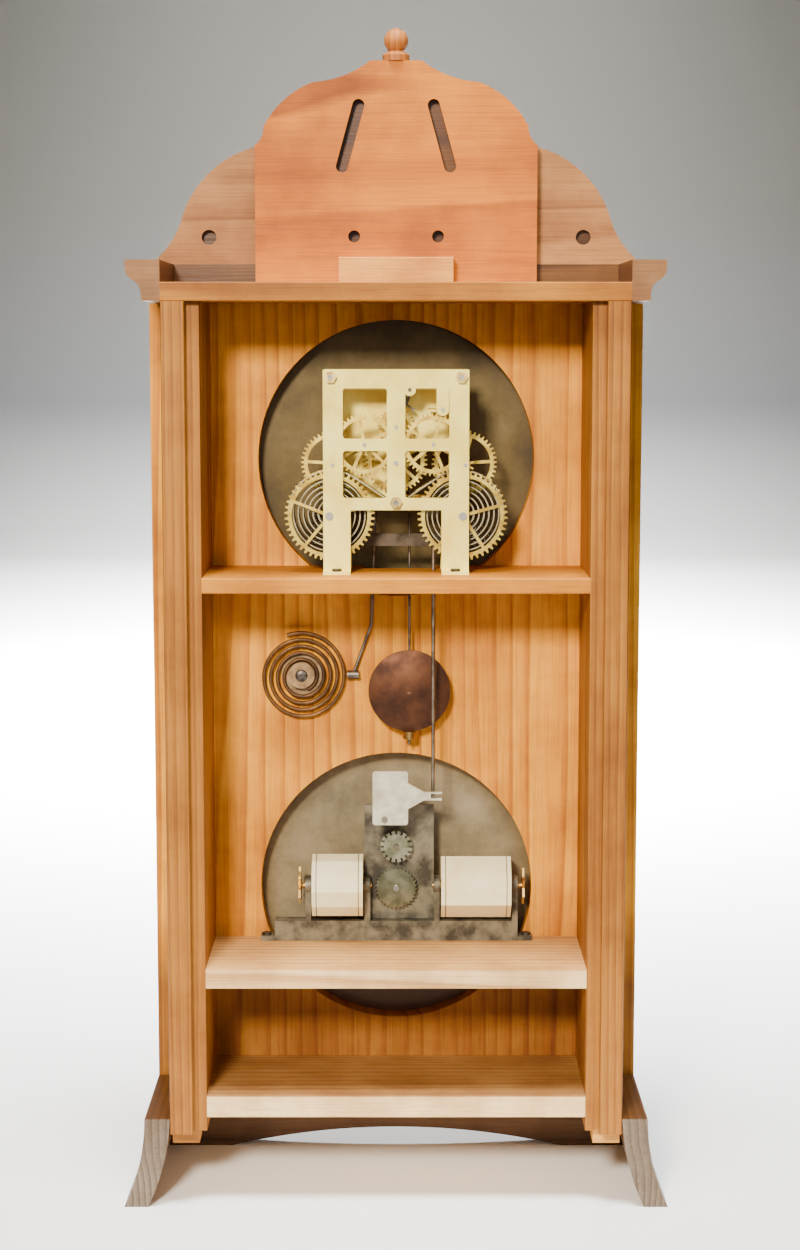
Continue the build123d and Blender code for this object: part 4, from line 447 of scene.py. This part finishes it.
def turned_head(radius, height, slot=None):
    """A domed head on its own base plane, looking up Z, with a sawn slot if wanted; sizes in mm."""
    head = bmesh.new()
    # its half outline: a flat seat, a short cone under the edge, and a quarter-round dome
    turns = [math.pi / 2 * step / 6 for step in range(7)]
    dome = [(radius * math.cos(turn), height * 0.35 + height * 0.65 * math.sin(turn)) for turn in turns]
    outline = [(0, 0), (radius * 0.9, 0), (radius, height * 0.12)] + dome
    points = [head.verts.new((0, reach / 1000, rise / 1000)) for reach, rise in outline]
    edges = [head.edges.new(pair) for pair in zip(points, points[1:])]
    bmesh.ops.spin(head, geom=points + edges, cent=(0, 0, 0), axis=(0, 0, 1), angle=full_turn,
                   steps=28, use_merge=True)
    bmesh.ops.remove_doubles(head, verts=head.verts, dist=same_place)
    bmesh.ops.recalc_face_normals(head, faces=head.faces)
    mesh = from_bmesh("head", head)
    if not slot:
        return mesh
    saw = bmesh.new()
    bmesh.ops.create_cube(saw, size=0.001)
    cut = Matrix.Translation((0, 0, height / 1000)) @ Matrix.Diagonal((3 * radius, slot, slot * 2, 1))
    bmesh.ops.transform(saw, matrix=cut, verts=saw.verts)
    blank = bpy.data.objects.new("blank", mesh)
    blade = bpy.data.objects.new("blade", from_bmesh("blade", saw))
    for item in (blank, blade):
        bpy.context.scene.collection.objects.link(item)
    sawn = blank.modifiers.new("slot", "BOOLEAN")
    sawn.operation = "DIFFERENCE"
    sawn.object = blade
    made = bpy.data.meshes.new_from_object(blank.evaluated_get(bpy.context.evaluated_depsgraph_get()))
    bpy.data.objects.remove(blank)
    bpy.data.objects.remove(blade)
    return made


def set_heads(name, head, places, facing, material):
    """Sets copies of a head at (x, y, z, turn) places in mm and degrees, looking to +Y or -Y."""
    shape = bmesh.new()
    upright = Matrix.Rotation(-facing * math.pi / 2, 4, "X")
    for x, y, z, turn in places:
        single = head.copy()
        turned = upright @ Matrix.Rotation(math.radians(turn), 4, "Z")
        single.transform(Matrix.Translation((x / 1000, y / 1000, z / 1000)) @ turned)
        shape.from_mesh(single)
        bpy.data.meshes.remove(single)
    finish_piece(name, from_bmesh(name, shape), material, "case")


small_brass = metal("small_fixing_brass", "#bd9a58", "#80622f", 3.0, 0.34)
leaf_places = [(111.6, 45.0, dial_z + rise, turn) for dial_z in (time_z, calendar_z)
               for rise, turn in ((-7, 20), (7, 75))]
set_heads("hinge_leaf_screws", turned_head(1.9, 0.9, 0.45), leaf_places, 1, small_brass)

tack_reach = 95.4
tack_turns = [math.radians(turn) for turn in (45, 135, 225, 315)]
tack_places = [(tack_reach * math.cos(turn), 45.2, dial_z + tack_reach * math.sin(turn), 0)
               for dial_z in (time_z, calendar_z) for turn in tack_turns]
set_heads("dial_pan_tacks", turned_head(1.3, 0.9), tack_places, 1, small_brass)

boss_iron = metal("boss_screw_iron", "#77706a", "#3f3a35", 3.0, 0.42)
boss_place = (-65, 20.0, 345, 35)
set_heads("gong_boss_screw", turned_head(4.2, 2.2, 0.9), [boss_place], -1, boss_iron)

# Hands: cut from thin steel sheet with saw and file, polished and blued by heat. They are
# smooth and look nearly black, with a blue glint.

dress(metal("blued_steel", "#1c2438", "#12141c", 12.0, 0.28), "minute_hand", "hour_hand", "date_hand")

# Movement plates: rolled sheet brass, pale and rubbed, so that little of its gloss is left, with
# turned steel pillars riveted to the front plate and brass nuts on the back one.

dress(metal("plate_brass", "#fff284", "#f4dc66", 26.0, 0.5, "Z", 0.35),
      "movement_front_plate", "movement_back_plate")
dress(metal("pillar_steel", "#a5a29a", "#6f6b62", 9.0, 0.35, "Y"), "movement_pillars", "movement_studs")
dress(metal("nut_brass", "#dcc280", "#9c824a", 5.0, 0.34), "pillar_nuts")

# Wheels: teeth cut in brass blanks that are driven onto steel arbors. The brass is bright and a
# little stained, and the date wheel is duller and greenish from standing in the open.


def wheel_metal(name, x, z, arbor_radius, base, worn):
    """Brass wheel whose arbor, within a few mm of its middle, is bright steel; sizes in mm."""
    material, tree, shader, place = new_material(name, Metallic=1.0)
    patch = add_node(tree, "TexNoise", {"Scale": 1000 / 9, "Detail": 4.0}, {"Vector": place})
    tint = add_node(tree, "ValToRGB", {"stops": [(0.4, linear(worn)), (0.62, linear(base))]},
                    {"Fac": patch})
    middle = add_node(tree, "Mapping", {"Location": (-x / 1000, 0, -z / 1000)}, {"Vector": place})
    flat = add_node(tree, "VectorMath", {"operation": "MULTIPLY", 1: (1, 0, 1)}, {0: middle})
    reach = add_node(tree, "VectorMath", {"operation": "LENGTH"}, {0: flat})
    arbor = add_node(tree, "Math", {"operation": "LESS_THAN", 1: arbor_radius / 1000}, {0: reach})
    colour = add_node(tree, "Mix", {"data_type": "RGBA", mix_second: linear("#b5b2ab")},
                      {mix_share: arbor, mix_first: tint})
    dull = add_node(tree, "MapRange", {"To Min": 0.42, "To Max": 0.28}, {"Value": patch})
    join(tree, shader, {"Base Color": colour, "Roughness": dull})
    return material


arbor_radii = {
    "time_great_wheel": 2.8, "strike_great_wheel": 2.8,
    "time_second_wheel": 1.4, "strike_second_wheel": 1.4,
    "time_third_wheel": 1.4, "strike_third_wheel": 1.4, "escape_wheel": 1.4, "strike_fly": 1.4,
    "centre_arbor": 1.8, "motion_wheel": 1.5, "hour_wheel": 3.4, "date_wheel": 2.2,
}
# each wheel turns about the middle of its box
for wheel, arbor_radius in arbor_radii.items():
    low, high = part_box(wheel)
    middle_x, middle_z = (low.x + high.x) * 500, (low.z + high.z) * 500
    shades = ("#a3a68c", "#70745e") if wheel == "date_wheel" else ("#f5da6c", "#bc9a40")
    dress(wheel_metal("cut_brass_" + wheel, middle_x, middle_z, arbor_radius, *shades), wheel)

# Mainsprings: hardened steel strip, wound round the arbors of the great wheels. Tempering left
# it straw and grey, and fine lines across it catch the light.

dress(metal("spring_steel", "#c2b894", "#8f8568", 14.0, 0.34, "Y"),
      "time_mainspring", "strike_mainspring")

# Verge, pendulum rod, hammer, link and levers: drawn iron wire and sheet, bent cold, dull with
# handling; the lift lever inside the movement is near black, painted shade for the dark between
# the movement's legs.

dress(metal("drawn_iron", "#8d867b", "#57504a", 10.0, 0.42),
      "verge_and_crutch", "pendulum_rod", "strike_hammer")
dress(metal("link_wire", "#a49c8d", "#6b6358", 12.0, 0.4), "calendar_link")
# near black as painted shade between the movement's legs
dress(metal("painted_shade_iron", "#5a5145", "#332d26", 12.0, 0.46), "lift_lever")

# Pendulum bob: a lead lens in a stamped brass skin, tarnished to a brown rose, that hangs on
# its rod above a turned brass nut.

dress(metal("tarnished_brass", "#603d29", "#41291f", 18.0, 0.46, metallic=0.8), "pendulum_bob")
dress(metal("rating_nut_brass", "#c9a566", "#8a6a3a", 4.0, 0.34), "rating_nut")

# Gong: a coil of steel wire, browned by heat, with little of its gloss left. It is held at its
# inner end by an iron boss that is filed bare, stained and dull.

dress(metal("gong_steel", "#7b5834", "#4a3322", 15.0, 0.42, metallic=0.7), "gong")
dress(metal("bare_boss_iron", "#ab8d62", "#7a6042", 8.0, 0.5, metallic=0.4), "gong_base")

# Calendar frame: grey iron casting, once japanned black and worn through, screwed to the
# shelf; the programme wheel of the month lengths is dull, greenish brass.

dress(metal("cast_iron_frame", "#857f6b", "#454138", 16.0, 0.5, metallic=0.6), "calendar_frame")
dress(metal("programme_brass", "#a9ab93", "#72765f", 8.0, 0.4), "programme_wheel")

# Calendar lever: sheet brass, sawn out and tinned. It is silvery white where the tin is still
# bright and cream where it has dulled.

dress(metal("tinned_sheet", "#efecd8", "#c4bea4", 12.0, 0.4, "X", 0.6), "calendar_lever")

# Rollers: wooden drums wrapped in ruled cream paper, on steel arbors with a brass star. The
# paper is matt, yellowed in patches, and the brass beyond its ends is bright.

ruled_inset = 3.0


def roller_paper(name, left, right):
    """Cream paper between two places along X, in mm, and brass beyond them."""
    material, tree, shader, place = new_material(name, IOR=1.48)
    fibre = add_node(tree, "TexNoise", {"Scale": 1000 / 1.2, "Detail": 4.0}, {"Vector": place})
    stain_and_shade_mask = add_node(tree, "TexNoise", {"Scale": 1000 / 22, "Detail": 4.0, "Roughness": 0.62},
                     {"Vector": place})
    paper = add_node(tree, "ValToRGB",
                     {"stops": [(0.32, linear("#fbe9ae")), (0.56, linear("#fffad0"))]}, {"Fac": stain_and_shade_mask})
    parts = add_node(tree, "SeparateXYZ", None, {"Vector": place})
    middle = (left + right) / 2000
    half = (right - left) / 2000
    off = add_node(tree, "Math", {"operation": "SUBTRACT", 1: middle}, {0: parts.outputs["X"]})
    away = add_node(tree, "Math", {"operation": "ABSOLUTE"}, {0: off})
    # an ink line near each end of the paper, drawn 0.6 mm wide so that it shows
    ruled = add_node(tree, "Math", {"operation": "COMPARE", 1: half - ruled_inset / 1000, 2: 0.0003},
                     {0: away})
    lined = add_node(tree, "Mix", {"data_type": "RGBA", mix_second: linear("#5a4a38")},
                     {mix_share: ruled, mix_first: paper})
    beyond = add_node(tree, "Math", {"operation": "GREATER_THAN", 1: half + 0.0002}, {0: away})
    colour = add_node(tree, "Mix", {"data_type": "RGBA", mix_second: linear("#c7a868")},
                      {mix_share: beyond, mix_first: lined})
    rough = add_node(tree, "MapRange", {"To Min": 0.75, "To Max": 0.35}, {"Value": beyond})
    bump = add_node(tree, "Bump", {"Strength": 0.12, "Distance": 0.0002}, {"Height": fibre})
    join(tree, shader, {"Base Color": colour, "Metallic": beyond, "Roughness": rough, "Normal": bump})
    return material


dress(roller_paper("paper_month_roller", -58, -23), "month_roller")
dress(roller_paper("paper_weekday_roller", 31, 79), "weekday_roller")

# Screws: turned iron wood screws through the feet of the movement and the calendar frame. They
# are dark and greasy, with a dull gloss on their heads.

dress(metal("screw_iron", "#6d675f", "#3c3833", 4.0, 0.42), "round_head_screws")

# Studio: a sweep of matt paper, white under and behind the clock, that turns grey up the wall
# and in front. A warm key light from the upper left, weak fills, and lights of their own for
# the floor and the wall behind the clock; the camera stands as the photograph's did.

sweep = bmesh.new()
sweep_half_width = 4.0
profile = [(-1.3, 0.0), (3.1, 0.0), (3.32, 0.04), (3.48, 0.16), (3.56, 0.4), (3.56, 4.4)]
points = [sweep.verts.new((-sweep_half_width, y, z)) for y, z in profile]
edges = [sweep.edges.new(pair) for pair in zip(points, points[1:])]
grown = bmesh.ops.extrude_edge_only(sweep, edges=edges)
moved = [item for item in grown["geom"] if isinstance(item, bmesh.types.BMVert)]
bmesh.ops.translate(sweep, vec=(2 * sweep_half_width, 0, 0), verts=moved)
bmesh.ops.recalc_face_normals(sweep, faces=sweep.faces)
backdrop = bpy.data.objects.new("backdrop", from_bmesh("backdrop", sweep))
bpy.context.scene.collection.objects.link(backdrop)
for face in backdrop.data.polygons:
    face.use_smooth = True

cloth, cloth_tree, cloth_shader, cloth_place = new_material("studio_sweep", Roughness=0.9)
# the tone falls with height, and a little with depth, so that it starts before the floor ends
cloth_reach = add_node(cloth_tree, "VectorMath", {"operation": "DOT_PRODUCT", 1: (0, 0.072, 0.6)},
                       {0: cloth_place})
cloth_fade = add_node(cloth_tree, "ValToRGB",
                      {"stops": [(0.193, white), (0.313, linear("#7c7c7b")), (0.517, linear("#434444")),
                                 (0.77, linear("#413f3a"))]},
                      {"Fac": cloth_reach})
# the floor turns grey in front of the clock, out of the photograph's view, to throw little light up
cloth_parts = add_node(cloth_tree, "SeparateXYZ", None, {"Vector": cloth_place})
cloth_near = add_node(cloth_tree, "MapRange", {"From Min": -0.26, "From Max": -0.55},
                      {"Value": cloth_parts.outputs["Y"]})
cloth_colour = add_node(cloth_tree, "Mix", {"data_type": "RGBA", mix_second: linear("#3f3f3e")},
                        {mix_share: cloth_near, mix_first: cloth_fade})
join(cloth_tree, cloth_shader, {"Base Color": cloth_colour})
backdrop.data.materials.append(cloth)


def soft_light(name, place, aim, size, power, colour, spread=180):
    """A square soft light that points at a spot; size in metres, power in watts, spread in degrees."""
    lamp = bpy.data.lights.new(name, "AREA")
    lamp.size = size
    lamp.energy = power
    lamp.spread = math.radians(spread)
    lamp.color = linear(colour)[:3]
    holder = bpy.data.objects.new(name, lamp)
    holder.location = place
    holder.rotation_euler = (Vector(aim) - Vector(place)).to_track_quat("-Z", "Y").to_euler()
    bpy.context.scene.collection.objects.link(holder)


soft_light("key_light", (-0.5, -2.2, 1.38), (0, 0, 0.35), 0.35, 108.0, "#fff0da")
soft_light("fill_light", (0.3, -2.4, 0.8), (0, 0, 0.4), 1.2, 8.0, "#fffaf2")
soft_light("back_floor_light", (0.0, 1.75, 2.7), (0, 1.75, 0.0), 1.2, 200.0, "#ffffff", 58)
soft_light("wall_light", (0.0, 2.76, 2.7), (0, 2.76, 0.0), 1.2, 190.0, "#ffffff", 58)
soft_light("front_floor_light", (0.0, -0.5, 2.5), (0, -0.1, 0.0), 0.7, 17.0, "#ffffff", 60)

world = bpy.data.worlds.new("soft_room")
world.use_nodes = True
world.node_tree.nodes["Background"].inputs["Color"].default_value = linear("#eef0f2")
world.node_tree.nodes["Background"].inputs["Strength"].default_value = 0.12
bpy.context.scene.world = world

camera = bpy.data.objects.new("camera", bpy.data.cameras.new("camera"))
camera.data.sensor_fit = "VERTICAL"
camera.data.sensor_height = 36.0
camera.data.lens = 66.9
camera.location = (0.0026, -1.5568, 0.5735)
camera.rotation_euler = (math.radians(83.0), 0, 0)
bpy.context.scene.collection.objects.link(camera)
bpy.context.scene.camera = camera
